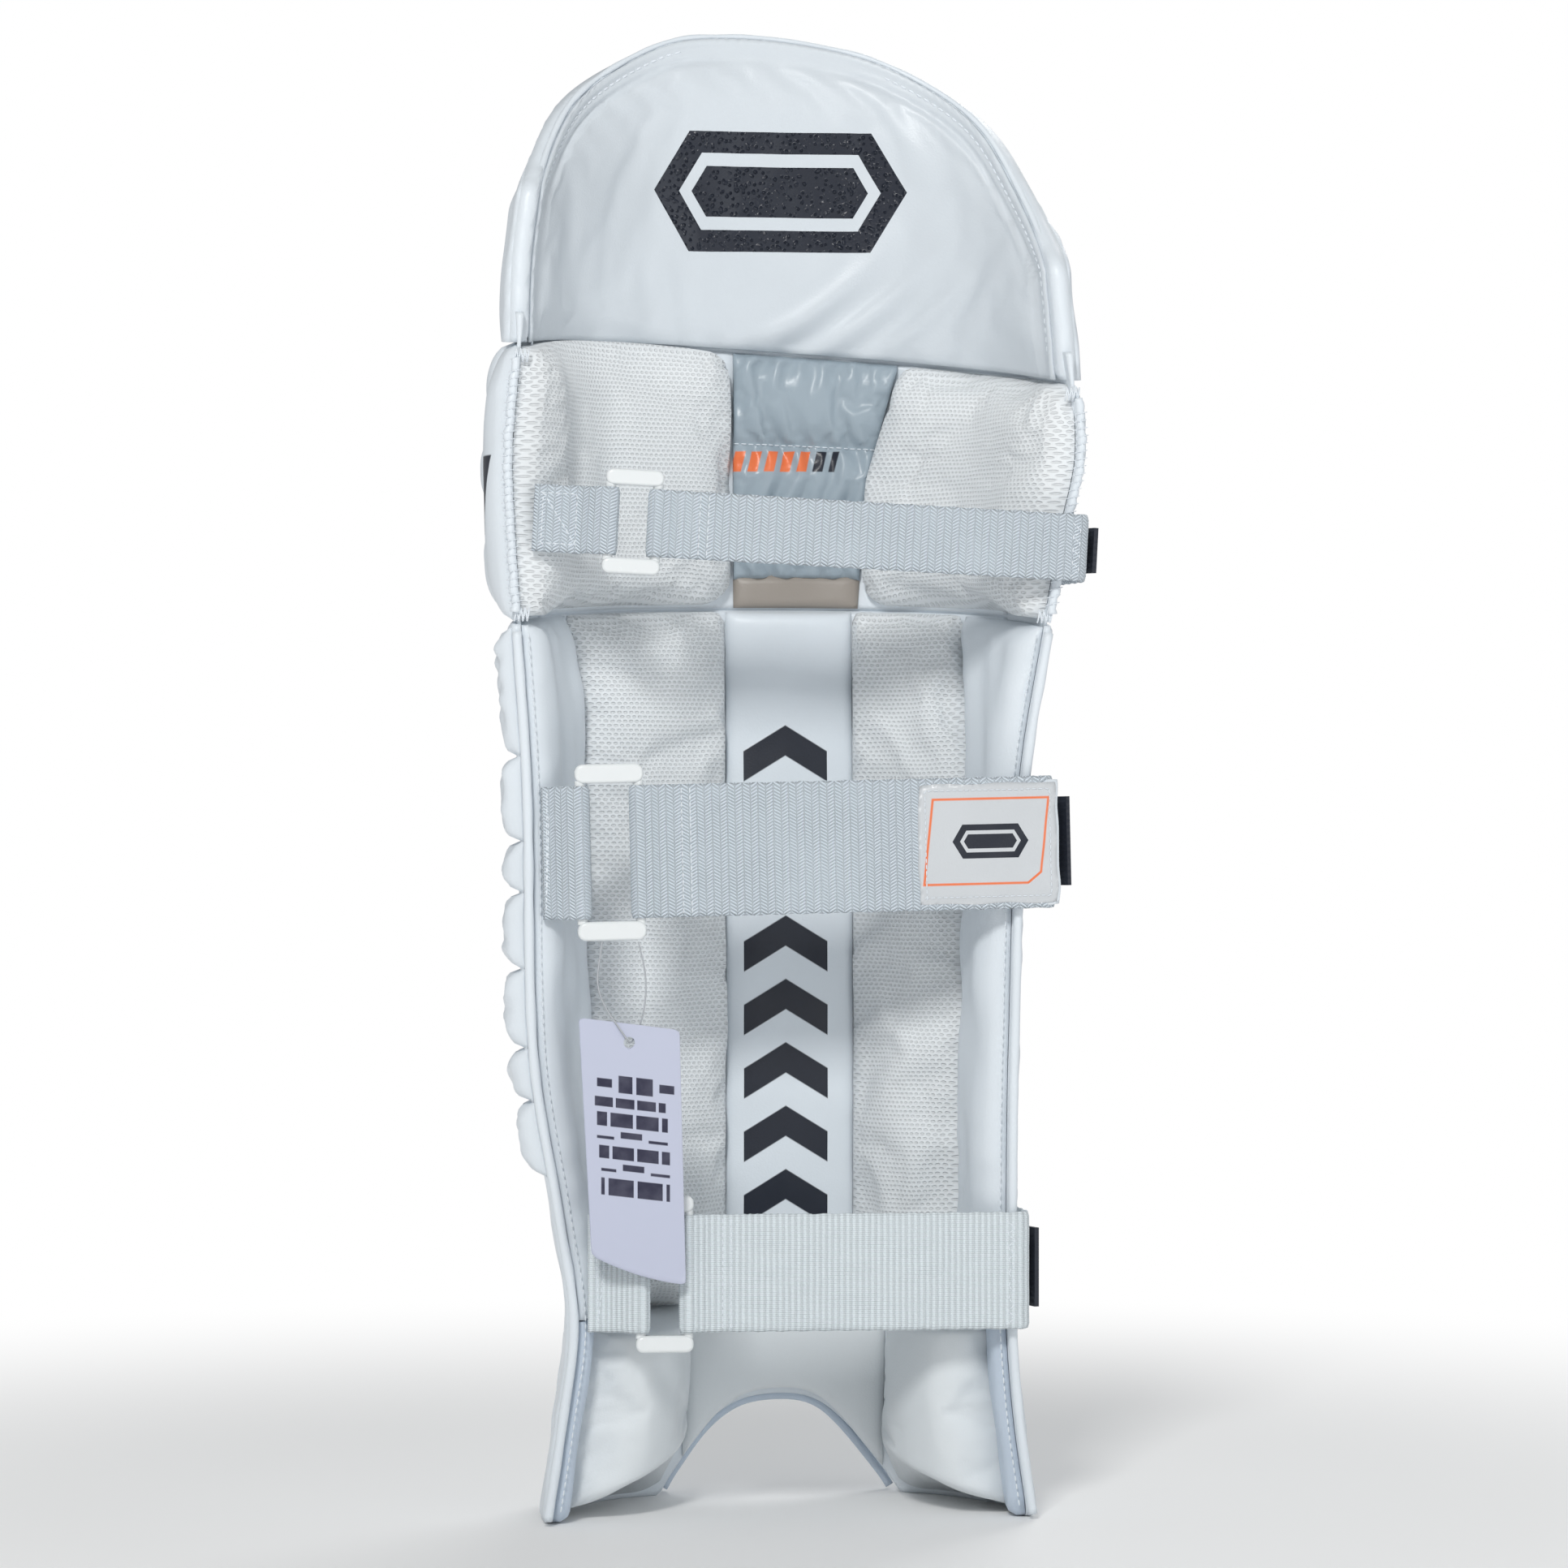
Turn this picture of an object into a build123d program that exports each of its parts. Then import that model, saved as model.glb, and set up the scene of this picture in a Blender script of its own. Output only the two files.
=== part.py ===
from build123d import *
import os
from math import copysign, cos, hypot, radians, sin

os.makedirs("parts", exist_ok=True)

# A cricket leg pad for an adult batter, standing on its two feet.  Millimetres.
# +X is to the right seen from the leg side, +Y is the way the strike face points, +Z is up.
# The origin is on the floor, under the middle of the box that holds the whole pad.

# ---- driving dimensions -------------------------------------------------------------------
# The pad is a trough with a super-ellipse section, open at the back (leg) side.
# Each station: height, half width on the left, half width on the right, back edge y, crest y.
STATIONS = [
    (0, 124, 113, -50, 61),
    (50, 117, 105, -57, 56),
    (97, 112, 101, -61, 50),
    (147, 119, 101, -62, 47),
    (223, 131, 102, -62, 46),
    (348, 134, 107, -62, 48),
    (424, 139, 119, -62, 52),
    (470, 142, 127, -62, 55),
    (505, 143, 134, -62, 56),
    (553, 139, 131, -61, 55),
    (600, 137, 127, -59, 53),
    (660, 128, 121, -57, 49),
    (716, 118, 113, -55, 44),
]
ORIGIN_X, ORIGIN_Y = -5.24, 3.72   # the written origin, on the trough's own axes
ROUNDNESS = 2.5            # exponent of the super-ellipse: 2 is an ellipse, more is squarer
LEVEL_STEP = 26.5          # every lofted piece has its sections at multiples of this height

LAYER_GAP = 0.3            # air between neighbouring padded layers
BELT_GAP = 1.0             # air behind a roll that lies round the outside
CORE = 8.0                 # foam core behind the rolls
WING = 12.0                # thickness of a side wing
FRONT_HALF_ANGLE = 60.0    # the core and instep reach this far round the trough

SEAM_AXIS_Y = -64.0        # the seams bend about lines just behind the wings
KNEE_SEAM_Z = 424.0        # height there of the seam between shin and knee
KNEE_SEAM_RISE = 0.10      # its rise towards the crest
HAT_SEAM_Z = 545.2         # height there, at x = 0, of the seam between knee and top hat
HAT_SEAM_SLOPE = -0.063    # its fall to the right
HAT_SEAM_RISE = 0.135      # its rise towards the crest
SEAM_GAP = 0.5             # half the air at each seam

ROLLS = 7                  # vertical rolls on the shin
ROLL_PITCH = 29.0
ROLL_HALF_DEPTH = 12.5
ROLL_BOTTOM = 99.0
CANE_RADIUS = 3.0
CANE_OFFSET = 4.2          # two canes lie side by side in each roll
CANE_END_MARGIN = 12.0

KNEE_ROLL_EDGES = [0.005, 0.355, 0.685, 0.99]    # shares of the way up the knee section
RIB_EDGES = [165, 200, 225, 262, 298, 322, 362]                 # creases of the left wing's ribs

BAR_RADIUS = 2.4           # ring bars
EYE_CLEARANCE = 0.35
WEB_THICK = 1.7            # strap webbing, one layer
HOOK_THICK = 0.8           # hook patch, and the loop patch it grips
PIPING = 2.2               # radius of the edge piping


# ---- the trough ---------------------------------------------------------------------------
def smooth_table(table, z):
    """The table's columns at z: a cubic through neighbouring rows with averaged slopes."""
    last = len(table) - 1
    i = 0
    while i < last - 1 and z > table[i + 1][0]:
        i += 1
    z0, z1 = table[i][0], table[i + 1][0]
    k = (z - z0) / (z1 - z0)
    result = []
    for c in range(1, len(table[0])):
        a, b = table[i][c], table[i + 1][c]
        slope = (b - a) / (z1 - z0)
        before = slope if i == 0 else (b - table[i - 1][c]) / (z1 - table[i - 1][0])
        after = slope if i == last - 1 else (table[i + 2][c] - a) / (table[i + 2][0] - z0)
        m0, m1 = before * (z1 - z0), after * (z1 - z0)
        result.append(
            a * (1 + 2 * k) * (1 - k) ** 2 + b * k * k * (3 - 2 * k)
            + m0 * k * (1 - k) ** 2 - m1 * k * k * (1 - k)
        )
    return result


def spot(z, angle, depth=0.0):
    """A point of the trough and its outward normal: angle is degrees round from the crest,
    negative to the left, and depth is millimetres in from the outer curve."""
    left, right, back, crest = smooth_table(STATIONS, z)
    half = right if angle > 0 else left
    span = crest - back
    s, c = sin(radians(angle)), abs(cos(radians(angle)))
    rho = (abs(s) ** ROUNDNESS + c ** ROUNDNESS) ** (1 / ROUNDNESS)
    u, v = s / rho, c / rho
    gx = copysign(abs(u) ** (ROUNDNESS - 1), u) / half
    gy = v ** (ROUNDNESS - 1) / span
    g = hypot(gx, gy)
    normal = Vector(gx / g, gy / g, 0)
    return Vector(half * u, back + span * v, z) - normal * depth, normal


def angle_at_x(x, depth=0.0):
    """A function that gives, at any height, the angle where the trough is at this x."""
    def find(z):
        low, high = -89.9, 89.9
        for _ in range(40):
            middle = (low + high) / 2
            if spot(z, middle, depth)[0].X < x:
                low = middle
            else:
                high = middle
        return low
    return find


def angle_at_girth(girth):
    """A function that gives, at any height, the angle this far round the trough from its crest."""
    def find(z):
        angle, walked, run, step = 0.0, 0.0, 1.0, copysign(0.25, girth)
        here = spot(z, 0.0)[0]
        while walked < abs(girth):
            angle += step
            there = spot(z, angle)[0]
            run = (there - here).length
            walked += run
            here = there
        return angle - step * (walked - abs(girth)) / run
    return find


def angle_at_y(y, side):
    """A function that gives, at any height, the angle where one side of the trough is at this y."""
    def find(z):
        low, high = 0.0, 90.0
        for _ in range(40):
            middle = (low + high) / 2
            if spot(z, side * middle)[0].Y > y:
                low = middle
            else:
                high = middle
        return side * low
    return find


def value(v, z):
    return v(z) if callable(v) else v


def levels(z0, z1, rounded):
    """Heights of the loft's sections, each with the share of the crown that it gets."""
    end = min(14.0, (z1 - z0) / 4)
    margin = end * 1.5 if rounded else LEVEL_STEP / 4
    first = int(z0 // LEVEL_STEP) + 1
    last = int(z1 // LEVEL_STEP)
    grid = [LEVEL_STEP * i for i in range(first, last + 1)]
    middle = [(z, 1.0) for z in grid if z0 + margin < z < z1 - margin]
    if not rounded:
        return [(z0, 1.0)] + middle + [(z1, 1.0)]
    return [(z0, 0.0), (z0 + end, 0.9)] + middle + [(z1 - end, 0.9), (z1, 0.0)]


def strip(z0, z1, a0, a1, outer, inner, crown_out=0.0, crown_in=0.0, points=9, rounded=True):
    """A padded strip of the trough's wall from angle a0 to a1, between the depths outer and
    inner.  Its faces swell by the crowns in the middle, and less at rounded ends."""
    wires = []
    for z, share in levels(z0, z1, rounded and (crown_out or crown_in)):
        first, last = value(a0, z), value(a1, z)
        outside, inside = [], []
        for i in range(points):
            k = i / (points - 1)
            angle = first + (last - first) * k
            swell = share * (1 - (2 * k - 1) ** 4)
            outside.append(spot(z, angle, outer - crown_out * swell)[0])
            inside.append(spot(z, angle, inner + crown_in * swell)[0])
        inside.reverse()
        edges = [
            Edge.make_spline(outside),
            Edge.make_line(outside[-1], inside[0]),
            Edge.make_spline(inside),
            Edge.make_line(inside[-1], outside[0]),
        ]
        wires.append(Wire(edges))
    return Solid.make_loft(wires)


def upright_rod(z0, z1, angle, sideways, depth, half_wide, half_deep):
    """An upright rod of elliptical section that follows the trough."""
    wires = []
    for z, _ in levels(z0, z1, False):
        centre, normal = spot(z, value(angle, z), depth)
        along = Vector(normal.Y, -normal.X, 0)
        plane = Plane(origin=centre + along * sideways, x_dir=along, z_dir=(0, 0, 1))
        wires.append((plane * Ellipse(half_wide, half_deep)).wire())
    return Solid.make_loft(wires)


def belt(z, a0, a1, low, high, half_deep, points=9):
    """A padded roll lying round the outside of the trough, between two heights that are
    functions of the place.  z is near its middle, and half_deep is a function of angle."""
    wires = []
    for i in range(points):
        angle = a0 + (a1 - a0) * i / (points - 1)
        deep = half_deep(angle)
        place = spot(z, angle, -deep)[0]
        bottom, top = low(place.X, place.Y), high(place.X, place.Y)
        centre, normal = spot((bottom + top) / 2, angle, -deep - BELT_GAP)
        along = Vector(normal.Y, -normal.X, 0)
        plane = Plane(origin=centre, x_dir=normal, z_dir=along)
        wires.append((plane * Ellipse(deep, (top - bottom) / 2)).wire())
    return Solid.make_loft(wires)


def tube(points, radius):
    """A round tube along a smooth line through points, in sections at right angles to it."""
    line = Edge.make_spline(points)
    start = Plane(origin=line @ 0, z_dir=line % 0)
    return sweep(start * Circle(radius), path=line).solid()


def edge_piping(side, z0, z1):
    """The piping along one back edge of the trough, in level sections."""
    wires = []
    for z, _ in levels(z0, z1, False):
        edge = spot(z, side * 90, 3.0)[0]
        plane = Plane(origin=edge - Vector(0, PIPING + 0.3, 0))
        wires.append((plane * Circle(PIPING)).wire())
    return Solid.make_loft(wires)


def silhouette(outline):
    """Everything inside an outline of (x, z) edges, as a prism right through the pad."""
    face = Face(Wire(outline))
    return extrude(face, amount=400, dir=(0, 1, 0))


def at_back(x, z):
    return Vector(x, -200, z)


def knee_seam(x, y):
    """Height of the seam between shin and knee at a place seen from above."""
    return KNEE_SEAM_Z + KNEE_SEAM_RISE * (y - SEAM_AXIS_Y)


def hat_seam(x, y):
    """Height of the seam between knee and top hat at a place seen from above."""
    return HAT_SEAM_Z + HAT_SEAM_SLOPE * x + HAT_SEAM_RISE * (y - SEAM_AXIS_Y)


def under(seam, gap=SEAM_GAP):
    """Everything below a seam, less the gap."""
    corners = [Vector(x, y, seam(x, y) - gap) for x, y in ((0, 0), (1, 0), (0, 1))]
    across, along = corners[1] - corners[0], corners[2] - corners[0]
    plane = Plane(origin=corners[0], x_dir=across, z_dir=across.cross(along))
    return plane * Box(600, 600, 600, align=(Align.CENTER, Align.CENTER, Align.MAX))


def between_seams(gap=SEAM_GAP):
    """The knee section's space."""
    return under(hat_seam, gap) - under(knee_seam, -gap)


def write(node, shape):
    export_step(shape.moved(Location((-ORIGIN_X, -ORIGIN_Y, 0))), f"parts/{node}.step")


# ---- outlines seen from the back ----------------------------------------------------------
HAT_OUTLINE = [
    (-140, 560), (-134, 600), (-125, 640), (-106, 680), (-65, 708), (-29, 714.5), (15, 711),
    (54, 700), (93, 674), (117, 637), (126, 590), (129, 541),
]
ARCH_OUTLINE = [(-60, -1), (-56, 14), (-40, 38), (0, 51.5), (34, 41), (50, 14), (54, -1)]
ARCH_TOP = 51.5
FRONT_ARCH_DROP = 11.0     # the front layer's arch is this much lower at its top


def polyline(points):
    return [Edge.make_line(a, b) for a, b in zip(points, points[1:])]


def hat_prism(inset=0.0):
    """The top hat's outline, drawn in by inset, down to its seam with the knee."""
    shrink = [(x * (1 - inset / 130), z - inset * (1 if z > 600 else 0)) for x, z in HAT_OUTLINE]
    top = [at_back(x, z) for x, z in shrink]
    low_left, low_right = at_back(top[0].X, 500), at_back(top[-1].X, 500)
    whole = silhouette([Edge.make_spline(top)] + polyline([top[-1], low_right, low_left, top[0]]))
    return whole - under(hat_seam, -SEAM_GAP)


def arch_prism(drop=0.0):
    """The opening for the top of the boot."""
    top = [at_back(x, z - drop * max(z, 0) / ARCH_TOP) for x, z in ARCH_OUTLINE]
    foot = [at_back(top[-1].X, -20), at_back(top[0].X, -20)]
    return silhouette([Edge.make_spline(top)] + polyline([top[-1]] + foot + [top[0]]))


# ---- the shin section ---------------------------------------------------------------------
INNER = CORE + LAYER_GAP


def make_shin():
    below = under(knee_seam)
    edge_top = KNEE_SEAM_Z - SEAM_GAP
    tall = 445             # over the seam at the crest, where the pieces are cut off
    arch = arch_prism()
    low_arch = arch_prism(FRONT_ARCH_DROP)

    canes = []
    for i in range(ROLLS):
        angle = angle_at_girth((i - (ROLLS - 1) / 2) * ROLL_PITCH + 0.01)
        depth = -ROLL_HALF_DEPTH - LAYER_GAP
        roll = upright_rod(ROLL_BOTTOM, tall, angle, 0, depth, ROLL_PITCH / 2 - 0.15,
                           ROLL_HALF_DEPTH)
        for side in (-1, 1):
            cane = upright_rod(ROLL_BOTTOM + CANE_END_MARGIN, edge_top - CANE_END_MARGIN, angle,
                               side * CANE_OFFSET, depth, CANE_RADIUS, CANE_RADIUS)
            roll -= cane
            canes.append(cane)
        write(f"shin_roll_{i + 1}", roll & below)
    write("cane_rods", Compound(canes))

    reach = FRONT_HALF_ANGLE
    core = strip(0, tall, -reach, reach, 0, CORE, points=17) - arch
    write("shin_core", core & below)
    cover = strip(0, ROLL_BOTTOM - LAYER_GAP, -reach, reach, -7, -LAYER_GAP, crown_out=9, points=17,
                  rounded=False)
    write("instep_cover", cover - low_arch)

    for name, side in (("left", -1), ("right", 1)):
        wing = strip(0, tall, side * (reach + 0.4), side * 90, 0, WING)
        write(f"{name}_wing", wing & below)
    ribs = []
    for low, high in zip(RIB_EDGES, RIB_EDGES[1:]):
        ribs.append(belt((low + high) / 2, -86, -58, lambda x, y: low + 0.2,
                         lambda x, y: high - 0.2, lambda angle: 5.5, 5))
    write("left_wing_ribs", Compound(ribs))

    left_roll = angle_at_x(-101, INNER)
    left_seam = angle_at_x(-28, INNER)
    right_seam = angle_at_x(34, INNER)
    right_roll = angle_at_x(90, INNER)
    low, high = 96, edge_top + 5
    write("left_side_bolster", strip(low, high, lambda z: max(-59.5, left_roll(z)),
                                     lambda z: left_seam(z) - 0.2, INNER, 12, crown_in=13))
    write("right_side_bolster", strip(low, high, lambda z: right_seam(z) + 0.2,
                                      lambda z: min(59.5, right_roll(z)), INNER, 12, crown_in=13))
    write("centre_strip", strip(low, high + 4, left_seam, right_seam, INNER, 11.5, crown_in=2.5))

    inner_wing = WING + LAYER_GAP
    for name, side in (("left", -1), ("right", 1)):
        write(f"{name}_wing_lining", strip(0, edge_top - 1, side * 61.5, side * 88, inner_wing,
                                           inner_wing + 2.5, crown_in=6))

    low, high = 3, low - 0.6
    left_panel = angle_at_x(-49, INNER)
    right_panel = angle_at_x(50, INNER)
    left = strip(low, high, -59, lambda z: left_panel(z) - 0.3, INNER, 11, crown_in=11)
    right = strip(low, high, lambda z: right_panel(z) + 0.3, 59, INNER, 11, crown_in=11)
    panel = strip(30, high, left_panel, right_panel, INNER, 11, crown_in=2)
    write("left_ankle_bolster", left - arch)
    write("right_ankle_bolster", right - arch)
    write("instep_panel", panel - arch)

    pipings = [edge_piping(side, 3, edge_top - 2) for side in (-1, 1)]
    write("shin_edge_piping", Compound(pipings))

    hem = []
    for x, z in ARCH_OUTLINE[1:-1]:
        height = z * (1 - FRONT_ARCH_DROP / ARCH_TOP)
        inset = 1 - 3.6 / hypot(x, height)
        outside = spot(height * inset, angle_at_x(x * inset, -4)(height * inset), -4)[0]
        hem.append(outside)
    write("arch_piping", tube(hem, 2.0))


# ---- the knee section ---------------------------------------------------------------------
def knee_roll_depth(angle):
    """Half depth of a knee roll: full over the front, thin where it reaches round the sides."""
    fade = max(0.0, (abs(angle) - 42) / 38)
    return 13.5 * (1 - fade) + 3.0 * fade


def make_knee():
    inside = between_seams()
    low, high = KNEE_SEAM_Z - 4, 575      # past both seams, where the pieces are cut off
    reach = FRONT_HALF_ANGLE
    write("knee_core", strip(low, high, -reach, reach, 0, CORE, points=17) & inside)
    for name, side in (("left", -1), ("right", 1)):
        wing = strip(low, high, side * (reach + 0.4), side * 90, 0, WING + 5)
        write(f"knee_{name}_wing", wing & inside)

    def height(share):
        """A function that gives the height at this share of the way up the knee section."""
        return lambda x, y: knee_seam(x, y) * (1 - share) + hat_seam(x, y) * share

    for i, (bottom, top) in enumerate(zip(KNEE_ROLL_EDGES, KNEE_ROLL_EDGES[1:])):
        middle = KNEE_SEAM_Z + (HAT_SEAM_Z - KNEE_SEAM_Z) * (bottom + top) / 2
        roll = belt(middle, -80, 54, height(bottom + 0.003), height(top - 0.003),
                    knee_roll_depth, 15)
        write(f"knee_roll_{i + 1}", roll)

    padding = between_seams(1.2)
    low, high = KNEE_SEAM_Z + 8, 558
    left_seam = angle_at_x(-24, INNER)

    def right_seam(z):
        """The right bolster's inner edge leans outwards as it goes up."""
        return angle_at_x(37 + 0.18 * (z - low), INNER)(z)

    deep_wing = WING + 5 + LAYER_GAP
    left = strip(low, high, -59.5, lambda z: left_seam(z) - 0.2, INNER, 14, crown_in=14)
    right = strip(low, high - 5, lambda z: right_seam(z) + 0.2, 59.5, INNER, 14, crown_in=14)
    panel = strip(low, high - 3, left_seam, right_seam, INNER, 12, crown_in=4)
    write("left_knee_bolster", left & padding)
    write("right_knee_bolster", right & padding)
    write("knee_centre_panel", panel & padding)
    write("left_knee_side_bolster", strip(low, 550, -87, -60.5, deep_wing, deep_wing + 2, crown_in=7))
    write("right_knee_side_bolster", strip(low, 534, 60.5, 87, deep_wing, deep_wing + 2, crown_in=7))

    pipings = [edge_piping(side, KNEE_SEAM_Z + 5, top) for side, top in ((-1, 548), (1, 532))]
    write("knee_edge_piping", Compound(pipings))


# ---- the top hat --------------------------------------------------------------------------
def make_top_hat():
    low, high = 530, 716
    write("top_hat_core", strip(low, high, -89, 89, 0, 9, points=17) & hat_prism(0.8))
    cover = strip(low, high, -84, 84, -1.8, -LAYER_GAP, crown_out=8, points=17, rounded=False)
    write("top_hat_front_cover", cover & hat_prism(1.5))
    panel = strip(low, high, -84, 84, 9 + LAYER_GAP, 11, crown_in=6, points=17, rounded=False)
    write("top_hat_back_panel", panel & hat_prism(1.5))

    path = []
    for x, z in HAT_OUTLINE:
        grow = 1 + 3.9 / hypot(x, (z - 560) * 0.9)
        height = min(z if z < 600 else 560 + (z - 560) * grow, 716.5)
        angle = angle_at_x(x, 4)(height)
        rim = spot(height, max(-84, min(84, angle)), 4)[0]
        path.append(Vector(x * grow, rim.Y, height))
    write("top_hat_piping", tube(path, 2.0))


# ---- straps -------------------------------------------------------------------------------
def ribbon(points, thick, radius=0.0):
    """The section of a flat strip along a bent line in the XY plane."""
    count = len(points)
    sides = {1: [], -1: []}
    turns = []
    for i, p in enumerate(points):
        before = (p - points[i - 1]).normalized() if i else None
        after = (points[i + 1] - p).normalized() if i < count - 1 else None
        before, after = before or after, after or before
        middle = (before + after).normalized()
        stretch = thick / 2 / max(0.2, middle.dot(after))
        across = Vector(-middle.Y, middle.X, 0) * stretch
        sides[1].append(p + across)
        sides[-1].append(p - across)
        if 0 < i < count - 1:
            turns.append(copysign(1, before.X * after.Y - before.Y * after.X))
    edges = []
    for side in (1, -1):
        if turns:
            radii = [radius - side * t * thick / 2 for t in turns]
            edges += FilletPolyline(*sides[side], radius=radii).edges()
        else:
            edges.append(Edge.make_line(*sides[side]))
    edges.append(Edge.make_line(sides[1][0], sides[-1][0]))
    edges.append(Edge.make_line(sides[1][-1], sides[-1][-1]))
    return Face(Wire.combine(edges)[0])


END_CLEARANCE = 5.2       # from the wing's face to the middle of the webbing at a strap's end


class Strap:
    """One strap with its ring.  Its pieces are drawn level, with the ring's middle at the origin
    and webbing widths along Z, and then placed."""

    def __init__(self, name, ring, web_width, ring_width, cap, tilt, tail_reach, corner_x, tab_x,
                 end_y):
        self.name = name
        self.ring_at = Vector(*ring)
        self.web = web_width
        self.ring_width = ring_width
        self.cap = cap
        self.tilt = tilt
        self.tail_reach = tail_reach       # x where the sewn tail ends
        self.corner_x = corner_x           # x where the strap turns round the right wing
        self.tab_x = tab_x                 # x of the pull tab's free edge
        self.end_y = end_y                 # y where the strap ends, on the wing's outer side
        self.bar = ring_width / 2 - BAR_RADIUS

    def place(self, shape):
        turned = shape.rotate(Axis.Y, self.tilt)
        return turned.moved(Location(self.ring_at))

    def local(self, x, y):
        return Vector(x - self.ring_at.X, y - self.ring_at.Y, 0)

    def across(self, face, width):
        return extrude(face, amount=width / 2, dir=(0, 0, 1), both=True)

    def eye(self, x, arm):
        """A webbing eye round the bar at x, with the arm that leaves it."""
        outer = BAR_RADIUS + EYE_CLEARANCE + WEB_THICK
        section = Pos(x, 0) * Circle(outer) + arm
        return section - Pos(x, 0) * Circle(BAR_RADIUS + EYE_CLEARANCE)

    def make_ring(self):
        half = self.web / 2
        ring = None
        for side in (-1, 1):
            bar = Pos(side * self.bar, 0, 0) * Cylinder(BAR_RADIUS, self.web + 5)
            outline = RectangleRounded(self.ring_width, self.cap, self.cap * 0.44)
            cap = extrude(Plane.XZ * outline, amount=3.3, both=True)
            cap = fillet(cap.edges().filter_by(Plane.XZ), 1.6)
            cap = Pos(0, 0, side * (half + 1.2 + self.cap / 2)) * cap
            ring = bar + cap if ring is None else ring + bar + cap
        write(f"{self.name}_ring", self.place(ring.solid()))

    def make_tail(self):
        edge_y = self.local(0, -62).Y
        y = edge_y - WEB_THICK - 0.15
        line = [Vector(-self.bar - 2.9, 0, 0), Vector(-self.bar - 14, y, 0),
                Vector(self.tail_reach - self.ring_at.X, y, 0)]
        tail = self.eye(-self.bar, ribbon(line, 2 * WEB_THICK, 6))
        write(f"{self.name}_tail", self.place(self.across(tail, self.web)))

    def wrap_line(self):
        """Middle line of the webbing where it turns round the right wing and ends."""
        corner = self.local(self.corner_x, self.ring_at.Y)
        heights = [self.right_z() + share * self.web / 2 for share in (-1, 0, 1)]
        wing_x = max(spot(z, angle_at_y(self.end_y, 1)(z))[0].X for z in heights)
        end = self.local(wing_x + END_CLEARANCE, self.end_y)
        return [Vector(self.bar + 2.9, 0, 0), corner, end]

    def right_z(self):
        return self.ring_at.Z - sin(radians(self.tilt)) * (self.corner_x - self.ring_at.X)

    def make_strap(self):
        line = self.wrap_line()
        lap = ribbon([line[0], line[0] + Vector(55, 0, 0)], 2 * WEB_THICK)
        section = self.eye(self.bar, lap + ribbon(line, WEB_THICK, 6))
        write(f"{self.name}_strap", self.place(self.across(section, self.web)))
        self.make_hook_patch(line)
        self.make_tab(line)

    def make_hook_patch(self, line):
        along = (line[2] - line[1]).normalized()
        inward = Vector(-along.Y, along.X, 0)
        offset = inward * (WEB_THICK + HOOK_THICK) / 2
        patch = ribbon([line[2] - along * 30 + offset, line[2] - along + offset], HOOK_THICK)
        write(f"{self.name}_hook_patch", self.place(self.across(patch, self.web - 6)))

    def make_tab(self, line):
        along = (line[2] - line[1]).normalized()
        outward = Vector(along.Y, -along.X, 0)
        offset = outward * (WEB_THICK / 2 + 1.1)
        root = line[2] - along * 2 + offset
        bend = line[2] - along * 22 + offset
        tip = self.local(self.tab_x, self.ring_at.Y + 14)
        tab = self.across(ribbon([root, bend, tip], 2.2, 10), self.web * 0.68)
        write(f"{self.name}_pull_tab", self.place(tab))

    def make_loop_patch(self):
        z = self.right_z()
        half = self.web / 2 - 2
        return strip(z - half, z + half, angle_at_y(self.end_y + 4, 1), angle_at_y(-50, 1),
                     -0.6 - HOOK_THICK, -0.6, points=5)


KNEE_STRAP = Strap("knee", (-82, -72, 471), 31.5, 27, 7.5, 3.0, -128, 133.5, 139, -16)
CALF_STRAP = Strap("calf", (-92.5, -72, 317), 62, 32, 9, -1.3, -124, 118, 126, -18)
ANKLE_STRAP = Strap("ankle", (-67, -70, 120), 55, 27, 8, 0.0, -102.5, 105.5, 111, -20)


def make_straps():
    for strap in (KNEE_STRAP, CALF_STRAP, ANKLE_STRAP):
        strap.make_ring()
        strap.make_tail()
        strap.make_strap()
    write("knee_loop_patch", KNEE_STRAP.make_loop_patch())
    patches = [CALF_STRAP.make_loop_patch(), ANKLE_STRAP.make_loop_patch()]
    write("shin_loop_patches", Compound(patches))

    badge = Pos(CALF_STRAP.local(85, 0).X, -WEB_THICK / 2 - 1.3, 0) * Box(68, 2.4, 59)
    badge = fillet(badge.edges().filter_by(Axis.Y), 3)
    write("calf_strap_patch", CALF_STRAP.place(badge))


# ---- thread knots at the two seams --------------------------------------------------------
def make_bar_tacks():
    """Short thread bars along each hinge line, at the back edges of the wings."""
    tacks = []
    for side in (-1, 1):
        for z in (KNEE_SEAM_Z, hat_seam(side * 127, SEAM_AXIS_Y)):
            edge = spot(z, side * 90, 6)[0]
            tacks.append(Pos(edge.X, edge.Y - 2.2, z) * Rot(0, 90, 0) * Cylinder(1.4, 11))
    write("knee_bar_tacks", Compound(tacks))


# ---- the tag on its string ----------------------------------------------------------------
TAG_Y = -82.5
TAG_CORNERS = [(-108, 240.5), (-61, 234.5), (-58, 116), (-102, 130)]
TAG_HOLE = (-84.5, 228.8)
STRING_RADIUS = 0.4
STRING_ROUTE = [
    (-96.4, -73.5, 275.2), (-98.0, -75.2, 266.0), (-99.3, -78.0, 255.0), (-95.5, -81.5, 244.5),
    (-89.5, -84.4, 236.0), (-85.2, -84.6, 229.6), (-83.4, -80.6, 228.2), (-79.8, -79.2, 234.5),
    (-76.9, -78.4, 244.5), (-76.0, -77.0, 256.0), (-77.3, -75.0, 266.5), (-79.6, -73.5, 275.2),
]


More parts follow.
